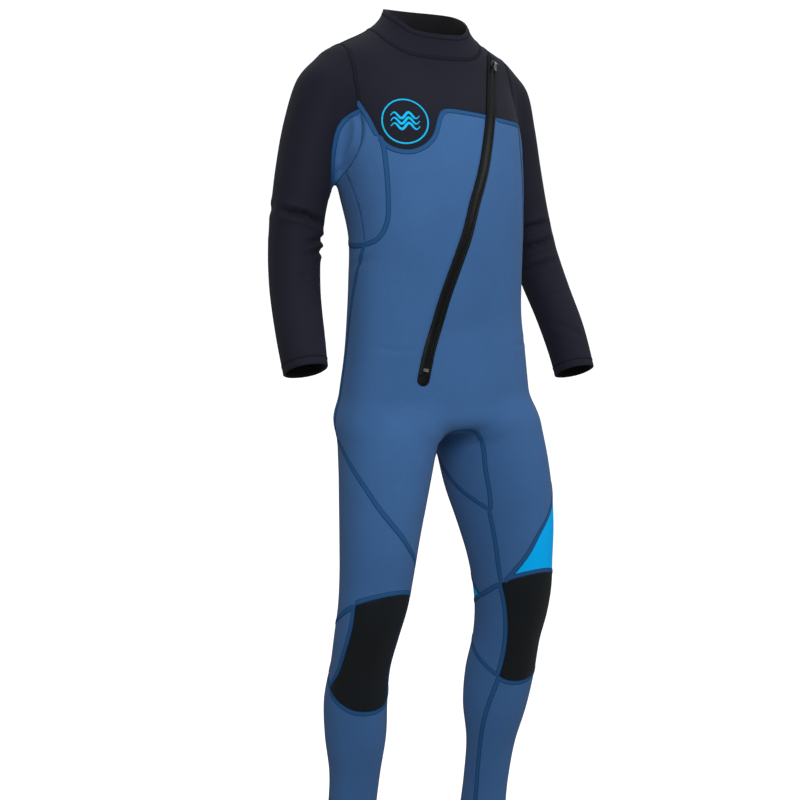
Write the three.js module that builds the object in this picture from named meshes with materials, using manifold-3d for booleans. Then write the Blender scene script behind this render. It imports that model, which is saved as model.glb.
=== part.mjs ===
// A long-sleeved wetsuit of 3 mm neoprene with a slanting front zip, in the hollow form it has when worn.
// Millimetres, +Z up. The front faces -Y and the wearer's left is +X. Sizes below are heights above the floor
// that the wearer would stand on; the finished group is moved so that its origin lies between the shoulders.
import * as THREE from 'three';
import { mergeVertices } from 'three/addons/utils/BufferGeometryUtils.js';
import Module from 'manifold-3d';

const wasm = await Module();
wasm.setup();

// ---- driving dimensions ----------------------------------------------------------------------------------
const FABRIC = 3;                        // thickness of the neoprene
const GAP = 0.3;                         // clearance between neighbouring pieces
const ORIGIN = new THREE.Vector3(0, 60, 1450);
const ANKLE_HEM = 100;                   // height of the trouser hems
const RIGHT_CUFF = [-257.5, -26, 972];   // centres of the sleeve mouths
const LEFT_CUFF = [258, -37, 948];
const CUFF_TILT = 24;                    // forward tilt of the forearms, degrees
const SLIVER = 2000;                     // crumbs smaller than this volume are cutting waste
const ZIP_WIDTH = 19;
const COIL = { half: 2.6, rise: 2.6 };
const SLIDER = {                         // heights are above the form
  down: 24, width: 9, length: 13, base: 3.4, top: 6.2, lug: 1.4, pin: 0.9, pinHeight: 8.6, reach: 10.2,
};
const TAB = { width: 5.6, length: 19, thickness: 1.6, eye: 2.1, hole: 1.3 };
const BADGE = { x: -96, z: 1360, radius: 38.5, band: 2.6, wave: 46, swell: 5, lines: [9, 0, -9] };
const SKIN_STEP = [33, 36, 70];          // spacing of the facets across, deep and high

// Sections of the form: height, centre x, centre y, half width, front depth, back depth, squareness, turn.
const TORSO = [
  [820, 0, 0, 174, 92, 118, 2.4, 0], [870, 0, 0, 176, 95, 125, 2.4, 0], [930, 0, 0, 169, 95, 120, 2.3, 0],
  [990, 0, 0, 161, 94, 112, 2.3, 0], [1050, -2, 0, 155, 94, 108, 2.25, 0], [1110, -2, 0, 152, 100, 106, 2.25, 0],
  [1180, 0, 6, 151, 111, 100, 2.3, 0], [1260, 0, 24, 159, 122, 104, 2.4, 0], [1320, 0, 36, 164, 122, 106, 2.4, 0],
  [1380, 0, 50, 166, 114, 102, 2.4, 0], [1430, 0, 62, 170, 96, 94, 2.3, 0], [1475, 0, 68, 167, 76, 82, 2.2, 0],
  [1510, 0, 66, 124, 58, 66, 2.2, 0], [1560, 0, 60, 60, 44, 52, 2.2, 0],
];
const LEG = [
  [60, 139, 72, 40, 44, 46, 2.2, 0], [100, 139, 66, 40, 44, 46, 2.2, 0], [200, 139, 50, 39, 40, 42, 2.2, 0],
  [275, 140, 36, 42, 42, 46, 2.2, 8], [345, 144, 26, 51, 53, 62, 2.2, 24], [410, 147, 18, 53, 60, 65, 2.2, 26],
  [480, 147, 0, 50, 60, 62, 2.2, 25], [530, 144, -14, 53, 66, 64, 2.2, 25], [585, 138, -26, 57, 71, 71, 2.2, 25],
  [630, 132, -26, 60, 77, 75, 2.2, 25], [690, 124, -22, 65, 88, 86, 2.2, 25], [750, 115, -17, 71, 95, 98, 2.2, 25],
  [810, 106, -12, 77, 96, 102, 2.2, 24], [870, 96, -4, 82, 96, 106, 2.2, 18], [940, 88, 4, 82, 96, 106, 2.2, 10],
];
const ARM = [
  [880, 258, -68, 34, 37, 37, 2.2, 0], [920, 258, -50, 34, 37, 37, 2.2, 0], [950, 258, -38, 34, 37, 37, 2.2, 0],
  [1030, 254, -2, 37, 41, 41, 2.2, 0], [1100, 245, 34, 39, 43, 43, 2.2, 0], [1170, 232, 60, 41, 45, 46, 2.2, 0],
  [1230, 219, 70, 43, 48, 49, 2.2, 0], [1300, 200, 76, 48, 55, 57, 2.2, 0], [1370, 180, 76, 52, 60, 62, 2.2, 0],
  [1430, 163, 72, 50, 58, 60, 2.2, 0], [1470, 148, 70, 44, 46, 50, 2.2, 0],
];
const NECK = [
  [1450, 0, 56, 92, 60, 74, 2.1, 0], [1500, 0, 54, 82, 66, 70, 2.1, 0], [1540, 0, 48, 69, 66, 64, 2.1, 0],
  [1620, 0, 42, 67, 66, 64, 2.1, 0],
];
const ENDS = {                           // heights where the sections fade out
  torsoTop: 1520, torsoBottom: 862, legTop: 900, armTop: 1476, neckBottom: 1440, neckTop: 1650, floor: 20, hand: 860,
};
const BLEND = { crotch: 26, legs: 16, neck: 40, arm: 22, top: 60 };

// Seams. Front ones are x, z; side ones are y, z; leg ones are the angle from the front outwards, z.
const COLLAR_SEAM = [[-60, 1464], [-18, 1467], [5, 1486], [32, 1507], [60, 1516], [130, 1522], [170, 1523]];
const COLLAR_RIM = [[-60, 1503], [-14, 1505], [18, 1530], [60, 1549], [118, 1561], [170, 1563]];
const ARMHOLE = [[150, 1520], [150, 1378], [152, 1346], [157, 1311], [162, 1280], [165, 1225], [167, 1195]];
const UNDERARM = [
  [146, 1382], [162, 1372], [176, 1354], [183, 1327], [184, 1297], [179, 1259], [172, 1225], [160, 1205],
];
const SHOULDER = [[58, 1372], [58, 1517]];
const ZIP_HEAD = [[112, 10], [117, 66]];              // plan view: x, y
const YOKE_FRONT = [
  [-140, 1341], [-133, 1336], [-122, 1321], [-98, 1314], [-80, 1319], [-66, 1328], [-54, 1342], [-45, 1362],
  [-36, 1376], [-24, 1382], [-4, 1381], [30, 1378], [70, 1373], [109, 1370], [152, 1369],
];
const YOKE_BACK = [[-156, 1380], [-110, 1366], [0, 1358], [110, 1366], [156, 1380]];
const SIDE_PANEL = [
  [14, 1428], [-4, 1396], [-26, 1366], [-40, 1341], [-48, 1325], [-55, 1294], [-61, 1238], [-59, 1200], [-47, 1177],
  [-22, 1168], [10, 1166], [45, 1170], [75, 1185], [100, 1215], [114, 1260], [121, 1300], [128, 1335],
  [137, 1362], [164, 1425],
];
const UNDERARM_SEAM = [[26, 1296], [17, 1281], [1, 1256], [-13, 1219], [-19, 1178], [-21, 1160]];
const SIDE_SEAM = [[-22, 1172], [-5, 1130], [15, 1060], [28, 980], [32, 900]];
const HIP_RIGHT = [29, 832];                          // where the side seams meet the thigh panels
const HIP_LEFT = [29, 806];
const GUSSET_ARCH = [
  [-69, 716], [-66, 728], [-61, 758], [-52, 800], [-44, 843], [-31, 861], [0, 869],
  [31, 861], [44, 843], [52, 800], [61, 758], [66, 728], [69, 716],
];
const GUSSET_LOW = [[-74, 718], [-63, 727], [-14, 757], [9, 776], [34, 799], [58, 835], [62, 890]];
const KNEE_TOP = [[-120, 627], [-64, 597], [-19, 568], [7, 554], [50, 534], [110, 520]];
const KNEE_LOW = [[-70, 407], [-38, 410], [-25, 420], [-1, 438], [20, 454], [45, 474], [80, 490], [120, 496]];
const LEG_FRONT = [
  [-51, 743], [-51, 672], [-52, 604], [-42, 546], [-35, 480], [-38, 421], [-55, 350], [-62, 299], [-62, 240],
  [-58, 180], [-58, 80],
];
const LEG_INNER_BACK = [[-117, 874], [-124, 852], [-133, 831], [-140, 790], [-141, 588]];
const PAD_OUTER = [[55, 625], [54, 563], [57, 524], [68, 472], [80, 452], [92, 425]];
const CALF_OUTER = [[115, 500], [118, 420], [120, 350], [118, 250], [115, 80]];
const THIGH_BACK = [[155, 716], [180, 658], [205, 614], [234, 588], [258, 568], [272, 548]];
const THIGH_RIGHT = [
  [-62, 636], [-47, 650], [-15, 679], [8, 714], [30, 753], [51, 794], [79, 832], [100, 847], [118, 852],
  [127, 832], [135, 790], ...THIGH_BACK,
];
const THIGH_LEFT = [
  [-62, 584], [-45, 600], [-26, 624], [-8, 652], [10, 692], [29, 723], [51, 764], [79, 806], [100, 822],
  [118, 828], [127, 812], [135, 776], ...THIGH_BACK,
];
const ZIP_LINE = [
  [112, 1481], [88, 1431], [62, 1376], [44, 1330], [26, 1280], [6, 1232], [-10, 1183], [-27, 1136],
  [-42, 1092], [-56, 1040], [-69, 999], [-79, 955],
];

const COLOURS = {
  black: { color: 0x1e1f28, roughness: 0.8, metalness: 0 },
  blue: { color: 0x3e6494, roughness: 0.8, metalness: 0 },
  cyan: { color: 0x0095e0, roughness: 0.75, metalness: 0 },
  pad: { color: 0x191d1f, roughness: 0.6, metalness: 0 },
  zip: { color: 0x101114, roughness: 0.5, metalness: 0 },
  metal: { color: 0x2a2b2e, roughness: 0.35, metalness: 0.9 },
};

// ---- the form --------------------------------------------------------------------------------------------
/** The row of a table at one height, by a smooth curve through its rows. */
function sectionAt(rows, height) {
  const z = THREE.MathUtils.clamp(height, rows[0][0], rows[rows.length - 1][0]);
  let i = 0;
  while (i < rows.length - 2 && rows[i + 1][0] <= z) i += 1;
  const span = (k) => rows[k + 1][0] - rows[k][0];
  const slope = (k, c) => (rows[k + 1][c] - rows[k][c]) / span(k);
  const tangent = (k, c) => {
    if (k === 0) return slope(0, c);
    if (k === rows.length - 1) return slope(k - 1, c);
    return (slope(k - 1, c) * span(k) + slope(k, c) * span(k - 1)) / (span(k) + span(k - 1));
  };
  const s = (z - rows[i][0]) / span(i);
  const value = (c) => (2 * s ** 3 - 3 * s ** 2 + 1) * rows[i][c]
    + (s ** 3 - 2 * s ** 2 + s) * span(i) * tangent(i, c)
    + (3 * s ** 2 - 2 * s ** 3) * rows[i + 1][c] + (s ** 3 - s ** 2) * span(i) * tangent(i + 1, c);
  return [1, 2, 3, 4, 5, 6, 7].map(value);
}

/** How far a point lies outside a tube of level sections; side is -1 for the wearer's right limb. */
function tube(rows, side, x, y, z) {
  const [cx, cy, width, front, back, power, turn] = sectionAt(rows, z);
  const angle = THREE.MathUtils.degToRad(turn);
  const ex = x * side - cx;
  const ey = y - cy;
  const dx = ex * Math.cos(angle) + ey * Math.sin(angle);
  const dy = ey * Math.cos(angle) - ex * Math.sin(angle);
  const depth = dy < 0 ? front : back;
  const reach = Math.hypot(dx, dy) + 1e-9;
  const ratio = (Math.abs(dx / width) ** power + Math.abs(dy / depth) ** power) ** (1 / power) + 1e-9;
  return reach - reach / ratio;
}

function softMin(a, b, soft) {
  const h = THREE.MathUtils.clamp(0.5 + (b - a) / (2 * soft), 0, 1);
  return b + (a - b) * h - soft * h * (1 - h);
}
const softMax = (a, b, soft) => -softMin(-a, -b, soft);

/** Signed distance, roughly, of a point to the outside of the worn suit, closed at its mouths. */
function form(x, y, z) {
  const trunk = softMax(softMax(tube(TORSO, 1, x, y, z), z - ENDS.torsoTop, BLEND.top), ENDS.torsoBottom - z, 40);
  const legs = softMax(softMin(tube(LEG, 1, x, y, z), tube(LEG, -1, x, y, z), BLEND.legs), z - ENDS.legTop, 40);
  const neck = Math.max(softMax(tube(NECK, 1, x, y, z), ENDS.neckBottom - z, 10), z - ENDS.neckTop);
  const arms = Math.min(tube(ARM, 1, x, y, z), tube(ARM, -1, x, y, z));
  const sleeves = softMax(Math.max(arms, ENDS.hand - z), z - ENDS.armTop, 50);
  const body = softMin(softMin(trunk, Math.max(legs, ENDS.floor - z), BLEND.crotch), neck, BLEND.neck);
  return softMin(body, sleeves, BLEND.arm);
}

/** The outward direction of the form at a point, with its steepness as its length. */
function steepest(p) {
  const e = 0.5;
  const out = new THREE.Vector3();
  for (const [i, j, k] of [[1, -1, -1], [-1, -1, 1], [-1, 1, -1], [1, 1, 1]]) {
    out.addScaledVector(new THREE.Vector3(i, j, k), form(p.x + i * e, p.y + j * e, p.z + k * e) / (4 * e));
  }
  return out;
}

/** Moves a point on to the form. */
function settle(p) {
  for (let round = 0; round < 6; round += 1) {
    const g = steepest(p);
    const away = THREE.MathUtils.clamp(form(p.x, p.y, p.z) / (g.length() + 1e-9), -15, 15);
    p.addScaledVector(g.normalize(), -away);
  }
  return p;
}

// ---- a skin of facets over the form ----------------------------------------------------------------------
const CORNERS = [...Array(8).keys()].map((c) => [c & 1, (c >> 1) & 1, (c >> 2) & 1]);
const EDGES = [];
for (let axis = 0; axis < 3; axis += 1) {
  for (let c = 0; c < 8; c += 1) if (!(c & (1 << axis))) EDGES.push([c, c | (1 << axis), axis]);
}
const FACES = [];
for (let axis = 0; axis < 3; axis += 1) {
  const [u, v] = [1 << ((axis + 1) % 3), 1 << ((axis + 2) % 3)];
  for (const base of [0, 1 << axis]) FACES.push([base, base | u, base | u | v, base | v]);
}
const edgeBetween = (a, b) => EDGES.findIndex((e) => (e[0] === a && e[1] === b) || (e[0] === b && e[1] === a));

/** Which crossed edges of one cell belong to the same patch of surface, as a patch number for each edge. */
function patches(inside) {
  const patch = EDGES.map((e, i) => (inside[e[0]] === inside[e[1]] ? -1 : i));
  const join = (a, b) => {
    const [keep, drop] = [patch[a], patch[b]];
    patch.forEach((v, i) => { if (v === drop) patch[i] = keep; });
  };
  for (const face of FACES) {
    const around = face.map((c, i) => edgeBetween(c, face[(i + 1) % 4]));
    const crossed = around.filter((e) => patch[e] >= 0);
    if (crossed.length === 2) join(crossed[0], crossed[1]);
    if (crossed.length === 4) {
      face.forEach((c, i) => { if (inside[c]) join(around[i], around[(i + 3) % 4]); });
    }
  }
  return patch;
}

/** Points on the form and the quads between them, one point for each patch in each cell of a grid. */
function skin(low, high, step) {
  const count = low.map((l, a) => Math.ceil((high[a] - l) / step[a]) + 1);
  const place = (i, j, k) => [i, j, k].map((n, a) => low[a] + n * step[a]);
  const index = (i, j, k) => (i * count[1] + j) * count[2] + k;
  const value = new Float64Array(count[0] * count[1] * count[2]);
  const each = (last, visit) => {
    for (let i = 0; i < last[0]; i += 1) {
      for (let j = 0; j < last[1]; j += 1) {
        for (let k = 0; k < last[2]; k += 1) visit(i, j, k);
      }
    }
  };
  each(count, (i, j, k) => { value[index(i, j, k)] = form(...place(i, j, k)); });
  const points = [];
  const owner = new Map();
  each(count.map((n) => n - 1), (i, j, k) => {
    const corner = CORNERS.map(([a, b, c]) => value[index(i + a, j + b, k + c)]);
    const inside = corner.map((v) => v < 0);
    if (inside.every((v) => v === inside[0])) return;
    const patch = patches(inside);
    for (const id of new Set(patch.filter((v) => v >= 0))) {
      const sum = new THREE.Vector3();
      const members = EDGES.map((e, n) => n).filter((n) => patch[n] === id);
      for (const n of members) {
        const [a, b, axis] = EDGES[n];
        const offset = [...CORNERS[a]];
        offset[axis] += corner[a] / (corner[a] - corner[b]);
        sum.add(new THREE.Vector3(...place(i + offset[0], j + offset[1], k + offset[2])));
        owner.set(index(i, j, k) * 12 + n, points.length);
      }
      points.push(settle(sum.divideScalar(members.length)));
    }
  });
  const quads = [];
  EDGES.filter((e) => e[0] === 0).forEach(([, , axis]) => {
    const [u, v] = [(axis + 1) % 3, (axis + 2) % 3];
    each(count.map((n, a) => (a === axis ? n - 1 : n)), (i, j, k) => {
      const here = [i, j, k];
      if (here[u] === 0 || here[v] === 0 || here[u] === count[u] - 1 || here[v] === count[v] - 1) return;
      const next = [...here];
      next[axis] += 1;
      const [a, b] = [value[index(...here)] < 0, value[index(...next)] < 0];
      if (a === b) return;
      const quad = [[1, 1], [0, 1], [0, 0], [1, 0]].map(([du, dv]) => {
        const cell = [...here];
        cell[u] -= du;
        cell[v] -= dv;
        const from = (du << u) | (dv << v);
        return owner.get(index(...cell) * 12 + edgeBetween(from, from | (1 << axis)));
      });
      quads.push(a ? quad : quad.reverse());
    });
  });
  return { points, quads };
}

// ---- solids ----------------------------------------------------------------------------------------------
const solidOf = (coordinates, triangles) => new wasm.Manifold(new wasm.Mesh({
  numProp: 3, vertProperties: Float32Array.from(coordinates), triVerts: Uint32Array.from(triangles),
}));

/** A three.js geometry as a solid. */
function solidFrom(geometry) {
  const bare = geometry.clone();
  bare.deleteAttribute('normal');
  bare.deleteAttribute('uv');
  const merged = mergeVertices(bare, 1e-4);
  return solidOf(merged.attributes.position.array, merged.index.array);
}

/** A solid from points and quads, each quad split along its shorter diagonal. */
function solidFromQuads(points, quads) {
  const triangles = quads.flatMap(([a, b, c, d]) => {
    const first = points[a].distanceTo(points[c]) <= points[b].distanceTo(points[d]);
    return first ? [a, b, c, a, c, d] : [a, b, d, b, c, d];
  });
  return solidOf(points.flatMap((p) => p.toArray()), triangles);
}

/** A bar swept through rows of four corners, with flat ends unless it closes on itself. */
function bar(rows, closed) {
  const last = rows.length - 1;
  const quads = [];
  for (let i = 0; i < (closed ? rows.length : last); i += 1) {
    const [a, b] = [i * 4, ((i + 1) % rows.length) * 4];
    for (let k = 0; k < 4; k += 1) quads.push([a + k, a + ((k + 1) % 4), b + ((k + 1) % 4), b + k]);
  }
  if (!closed) quads.push([3, 2, 1, 0], [last * 4, last * 4 + 1, last * 4 + 2, last * 4 + 3]);
  const solid = solidFromQuads(rows.flat(), quads);
  return solid.volume() > 0 ? solid : solidFromQuads(rows.flat(), quads.map((q) => [...q].reverse()));
}

/** The rows before and after one of them, round the corner if the line closes on itself. */
function neighbours(rows, i, closed) {
  const last = rows.length - 1;
  return closed ? [rows[(i + last) % rows.length], rows[(i + 1) % rows.length]]
    : [rows[Math.max(i - 1, 0)], rows[Math.min(i + 1, last)]];
}

/** A thin ruled sheet as a solid: every row runs from its inner to its outer point. */
function blade(rows, closed = false) {
  return bar(rows.map(([inner, outer], i) => {
    const [before, after] = neighbours(rows, i, closed);
    const along = new THREE.Vector3().addVectors(after[0], after[1]).sub(before[0]).sub(before[1]);
    const across = new THREE.Vector3().subVectors(outer, inner).cross(along).setLength(GAP / 2);
    return [
      inner.clone().add(across), outer.clone().add(across),
      outer.clone().sub(across), inner.clone().sub(across),
    ];
  }), closed);
}

/** Points along a smooth plane curve through the given ones, about one for each stride. */
function curve(points, stride = 45, closed = false) {
  const line = new THREE.CatmullRomCurve3(points.map(([u, v]) => new THREE.Vector3(u, 0, v)), closed, 'centripetal');
  return line.getSpacedPoints(Math.ceil(line.getLength() / stride)).slice(0, closed ? -1 : undefined);
}

const frontCut = (seam, y0, y1, side = 1) => blade(curve(seam).map((p) => [
  new THREE.Vector3(side * p.x, y1, p.z), new THREE.Vector3(side * p.x, y0, p.z),
]));

const sideCut = (seam, x0, x1, stride) => blade(curve(seam, stride).map((p) => [
  new THREE.Vector3(x0, p.x, p.z), new THREE.Vector3(x1, p.x, p.z),
]));

const planCut = (seam, z0, z1) => blade(curve(seam).map((p) => [
  new THREE.Vector3(p.x, p.z, z0), new THREE.Vector3(p.x, p.z, z1),
]));

/** A cut square to the leg's surface, from inside the leg outwards. */
function legCut(seam, side, stride = 45) {
  return blade(curve(seam, stride).map((p) => {
    const [cx, cy] = sectionAt(LEG, p.z);
    const turn = THREE.MathUtils.degToRad(p.x);
    const [across, ahead] = [Math.sin(turn), Math.cos(turn)];
    return [22, 120].map((reach) => new THREE.Vector3(side * (cx + reach * across), cy - reach * ahead, p.z));
  }));
}

/** A block with an outline in y, z through the whole width, for trimming the neck. */
function blockAcross(outline, width) {
  const shape = new THREE.Shape(outline.map((p) => new THREE.Vector2(p.x, p.z)));
  const block = new THREE.ExtrudeGeometry(shape, { depth: width, bevelEnabled: false, curveSegments: 1 });
  // the outline's first axis becomes Y, its second Z, and the depth runs along X
  block.applyMatrix4(new THREE.Matrix4().set(0, 0, 1, -width / 2, 1, 0, 0, 0, 0, 1, 0, 0, 0, 0, 0, 1));
  return solidFrom(block);
}

/** The block that takes off everything below one sleeve's mouth. */
function cuffTrim([x, y, z]) {
  const block = new THREE.BoxGeometry(110, 160, 120);
  block.translate(0, 0, -60);
  block.rotateX(THREE.MathUtils.degToRad(-CUFF_TILT));
  block.translate(x, y, z);
  return solidFrom(block);
}

const pieces = (solid, least = SLIVER) => solid.decompose().filter((p) => p.volume() > least);

/** Of some solids, the one whose surface comes nearest to a point. */
function nearest(solids, x, y, z) {
  const reach = (solid) => {
    const { vertProperties: v } = solid.getMesh();
    let best = Infinity;
    for (let i = 0; i < v.length; i += 3) best = Math.min(best, Math.hypot(v[i] - x, v[i + 1] - y, v[i + 2] - z));
    return best;
  };
  return solids.reduce((a, b) => (reach(b) < reach(a) ? b : a));
}

const suit = new THREE.Group();
suit.position.copy(ORIGIN).negate();

/** Adds a solid to the suit as a named piece with its own material. */
function add(name, solid, colour) {
  const { vertProperties, triVerts } = solid.getMesh();
  const geometry = new THREE.BufferGeometry();
  geometry.setAttribute('position', new THREE.BufferAttribute(vertProperties, 3));
  geometry.setIndex(new THREE.BufferAttribute(triVerts, 1));
  const mesh = new THREE.Mesh(geometry, new THREE.MeshStandardMaterial(COLOURS[colour]));
  mesh.name = name;
  suit.add(mesh);
}

// ---- the shell and its mouths ----------------------------------------------------------------------------
const { points, quads } = skin([-330, -198, -20], [330, 206, 1740], SKIN_STEP);
const lining = points.map((p) => p.clone().addScaledVector(steepest(p).normalize(), -FABRIC));
const neckTrim = blockAcross([...curve(COLLAR_RIM, 12), { x: 170, z: 1700 }, { x: -60, z: 1700 }], 240);
const ankleTrim = solidFrom(new THREE.BoxGeometry(480, 400, 100).translate(0, 0, ANKLE_HEM - 50));
const shell = solidFromQuads(points, quads).subtract(solidFromQuads(lining, quads)).subtract(neckTrim)
  .subtract(ankleTrim).subtract(cuffTrim(RIGHT_CUFF)).subtract(cuffTrim(LEFT_CUFF));

// ---- sleeves ---------------------------------------------------------------------------------------------
const armholes = [-1, 1].map((side) => frontCut(ARMHOLE, -90, 200, side));
const [largest, ...limbs] = pieces(shell.subtract(armholes[0]).subtract(armholes[1]))
  .sort((a, b) => b.volume() - a.volume());
for (const [side, hand] of [[-1, 'right'], [1, 'left']]) {
  const cutSleeve = pieces(nearest(limbs, side * 250, 0, 1000).subtract(frontCut(UNDERARM, -90, 200, side)));
  add(`sleeve_${hand}`, nearest(cutSleeve, side * 250, 0, 1000), 'black');
  add(`underarm_${hand}`, nearest(cutSleeve, side * 172, 10, 1310), 'blue');
}

// ---- the zip's line and the band that it fills -----------------------------------------------------------
const zipPath = curve(ZIP_LINE, 30);
/** The band's outline in front view: up one side, round the lower end and back. */
function bandOutline(half) {
  const flank = (turn) => zipPath.map((p, i) => {
    const [a, b] = neighbours(zipPath, i, false);
    const along = new THREE.Vector3().subVectors(b, a).normalize();
    return new THREE.Vector3(p.x - turn * along.z * half, 0, p.z + turn * along.x * half);
  });
  const end = zipPath[zipPath.length - 1];
  const round = [-60, -30, 0, 30, 60].map((degrees) => {
    const turn = THREE.MathUtils.degToRad(degrees + 13);
    return new THREE.Vector3(end.x - half * Math.sin(turn), 0, end.z - half * Math.cos(turn));
  });
  return [...flank(-1), ...round.reverse(), ...flank(1).reverse()];
}
const zipCut = blade(bandOutline(ZIP_WIDTH / 2).map((p) => [
  new THREE.Vector3(p.x, 62, p.z), new THREE.Vector3(p.x, -140, p.z),
]), true);

// ---- trunk and legs --------------------------------------------------------------------------------------
const cuts = [
  sideCut(COLLAR_SEAM, -118, 118, 20), frontCut(YOKE_FRONT, -140, 20), frontCut(YOKE_BACK, 75, 190),
  sideCut(SHOULDER, -200, -60), sideCut(SHOULDER, 60, 200),
  planCut(ZIP_HEAD, 1440, 1560),
  frontCut(GUSSET_ARCH, -140, -35), sideCut(GUSSET_LOW, -80, 80),
  sideCut(KNEE_TOP, -230, 230), sideCut(KNEE_LOW, -230, 230),
];
for (const side of [-1, 1]) {
  const across = side > 0 ? [60, 190] : [-190, -60];
  cuts.push(sideCut(SIDE_PANEL, ...across), sideCut(UNDERARM_SEAM, ...across));
  cuts.push(sideCut([...SIDE_SEAM, side < 0 ? HIP_RIGHT : HIP_LEFT], ...across));
  for (const seam of [LEG_FRONT, LEG_INNER_BACK, PAD_OUTER, CALF_OUTER]) cuts.push(legCut(seam, side));
  cuts.push(legCut(side < 0 ? THIGH_RIGHT : THIGH_LEFT, side, 22));
}
const [tape, ...restOfTrunk] = pieces(largest.subtract(zipCut)).sort((a, b) => a.volume() - b.volume());
add('zip_tape', tape, 'zip');
const trunk = pieces(cuts.reduce((solid, cut) => solid.subtract(cut), restOfTrunk[0]));

const named = [
  ['collar', 0, -12, 1490, 'black'], ['yoke_front_right', -60, -60, 1420, 'black'],
  ['yoke_front_left', 125, -20, 1400, 'black'], ['yoke_back', 0, 150, 1420, 'black'],
  ['body_front', -90, -90, 1100, 'blue'], ['body_back', 0, 110, 1000, 'blue'], ['gusset', 0, 0, 850, 'blue'],
];
for (const [side, hand] of [[-1, 'right'], [1, 'left']]) {
  named.push(
    [`side_front_${hand}`, side * 140, -45, 1240, 'blue'], [`side_back_${hand}`, side * 140, 80, 1240, 'blue'],
    [`lower_thigh_${hand}`, side * 185, -60, 680, side < 0 ? 'blue' : 'cyan'],
    [`inner_thigh_${hand}`, side * 68, 0, 680, 'blue'], [`knee_pad_${hand}`, side * 150, -68, 500, 'pad'],
    [`knee_back_${hand}`, side * 147, 60, 500, 'blue'], [`shin_${hand}`, side * 150, -20, 300, 'blue'],
    [`calf_${hand}`, side * 140, 85, 320, 'blue'],
  );
}
for (const [name, x, y, z, colour] of named) add(name, nearest(trunk, x, y, z), colour);
const yokeRight = nearest(trunk, -60, -60, 1420);

// ---- trim ------------------------------------------------------------------------------------------------
/** The form's front surface at a place in front view. */
function frontOf(x, z) {
  let [outside, inside] = [-200, 40];
  for (let y = outside; y < inside; y += 4) {
    if (form(x, y, z) < 0) inside = y;
    else outside = y;
  }
  for (let round = 0; round < 16; round += 1) {
    const middle = (outside + inside) / 2;
    if (form(x, middle, z) < 0) inside = middle;
    else outside = middle;
  }
  return new THREE.Vector3(x, inside, z);
}

/** A strip on the form, from one height above it to another, along a line of points on it. */
function strip(line, half, low, high, closed = false) {
  return bar(line.map((p, i) => {
    const [a, b] = neighbours(line, i, closed);
    const out = steepest(p).normalize();
    const side = new THREE.Vector3().subVectors(b, a).cross(out).setLength(half);
    return [[-1, low], [1, low], [1, high], [-1, high]].map(([turn, height]) => (
      p.clone().addScaledVector(side, turn).addScaledVector(out, height)));
  }), closed);
}

/** The main part of a solid that is left when the cloth behind it, and a gap in front of that, is taken off. */
const clearOf = (solid, cloth) => pieces(solid.subtract(cloth.translate([0, -GAP, 0])), 1)
  .sort((a, b) => b.volume() - a.volume())[0];

const zipOnForm = curve(ZIP_LINE, 20).map((p) => frontOf(p.x, p.z));
const zipLength = new THREE.CatmullRomCurve3(zipOnForm).getLength();
add('zip_coil', clearOf(strip(zipOnForm.slice(1, -1), COIL.half, -1, COIL.rise), tape), 'zip');

/** A frame on the zip: X across it, Y down along it and Z out of the cloth. */
function onZip(down) {
  const line = new THREE.CatmullRomCurve3(zipOnForm);
  const at = line.getPointAt(down / line.getLength());
  const out = steepest(at).normalize();
  const across = new THREE.Vector3().crossVectors(line.getTangentAt(down / line.getLength()), out).normalize();
  const along = new THREE.Vector3().crossVectors(out, across);
  return new THREE.Matrix4().makeBasis(across, along, out).setPosition(at);
}
const block = (w, l, h, x, y, z) => solidFrom(new THREE.BoxGeometry(w, l, h).translate(x, y, z));
const placed = (solid, frame) => solid.transform(frame.elements);

const topEnd = block(10, 7, 7, 0, -2, 2.5);
add('zip_top_end', clearOf(placed(topEnd, onZip(4)), tape.add(placed(block(8, 60, 4, 0, 0, 1.5), onZip(4)))), 'zip');
const sliderFrame = onZip(SLIDER.down);
const lugHeight = SLIDER.reach - SLIDER.top + 0.5;
const lug = (side) => block(SLIDER.lug, 5, lugHeight, side * 3.8, 0, SLIDER.reach - lugHeight / 2);
const pin = solidFrom(new THREE.CylinderGeometry(SLIDER.pin, SLIDER.pin, 8, 12).rotateZ(Math.PI / 2)
  .translate(0, 0, SLIDER.pinHeight));
const plate = block(SLIDER.width, SLIDER.length, SLIDER.top - SLIDER.base, 0, 0, (SLIDER.top + SLIDER.base) / 2);
add('zip_slider', placed(plate.add(lug(-1)).add(lug(1)).add(pin), sliderFrame), 'metal');

const outline = new THREE.Shape().absarc(0, 0, TAB.eye, Math.PI, 0, true);
outline.lineTo(TAB.width / 2, -TAB.length + TAB.width / 2);
outline.absarc(0, -TAB.length + TAB.width / 2, TAB.width / 2, 0, -Math.PI, true);
const grip = new THREE.ExtrudeGeometry(outline, { depth: TAB.thickness, bevelEnabled: false, curveSegments: 8 });
// the outline runs down the zip, which is +Y of the zip's frame
grip.translate(0, 0, -TAB.thickness / 2).rotateX(Math.PI);
const eyeDisc = new THREE.CylinderGeometry(TAB.eye, TAB.eye, TAB.width - 0.2, 20).rotateZ(Math.PI / 2);
const eyeHole = new THREE.CylinderGeometry(TAB.hole, TAB.hole, 12, 20).rotateZ(Math.PI / 2);
const tab = solidFrom(grip).add(solidFrom(eyeDisc)).subtract(solidFrom(eyeHole));
const hinge = new THREE.Matrix4().makeTranslation(0, 0, SLIDER.pinHeight);
add('zip_pull_tab', placed(tab, sliderFrame.clone().multiply(hinge)), 'metal');

add('zip_lower_end', clearOf(placed(block(8.5, 5, 4.6, 0, 0, 1.6), onZip(zipLength - 16)), tape), 'metal');

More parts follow.
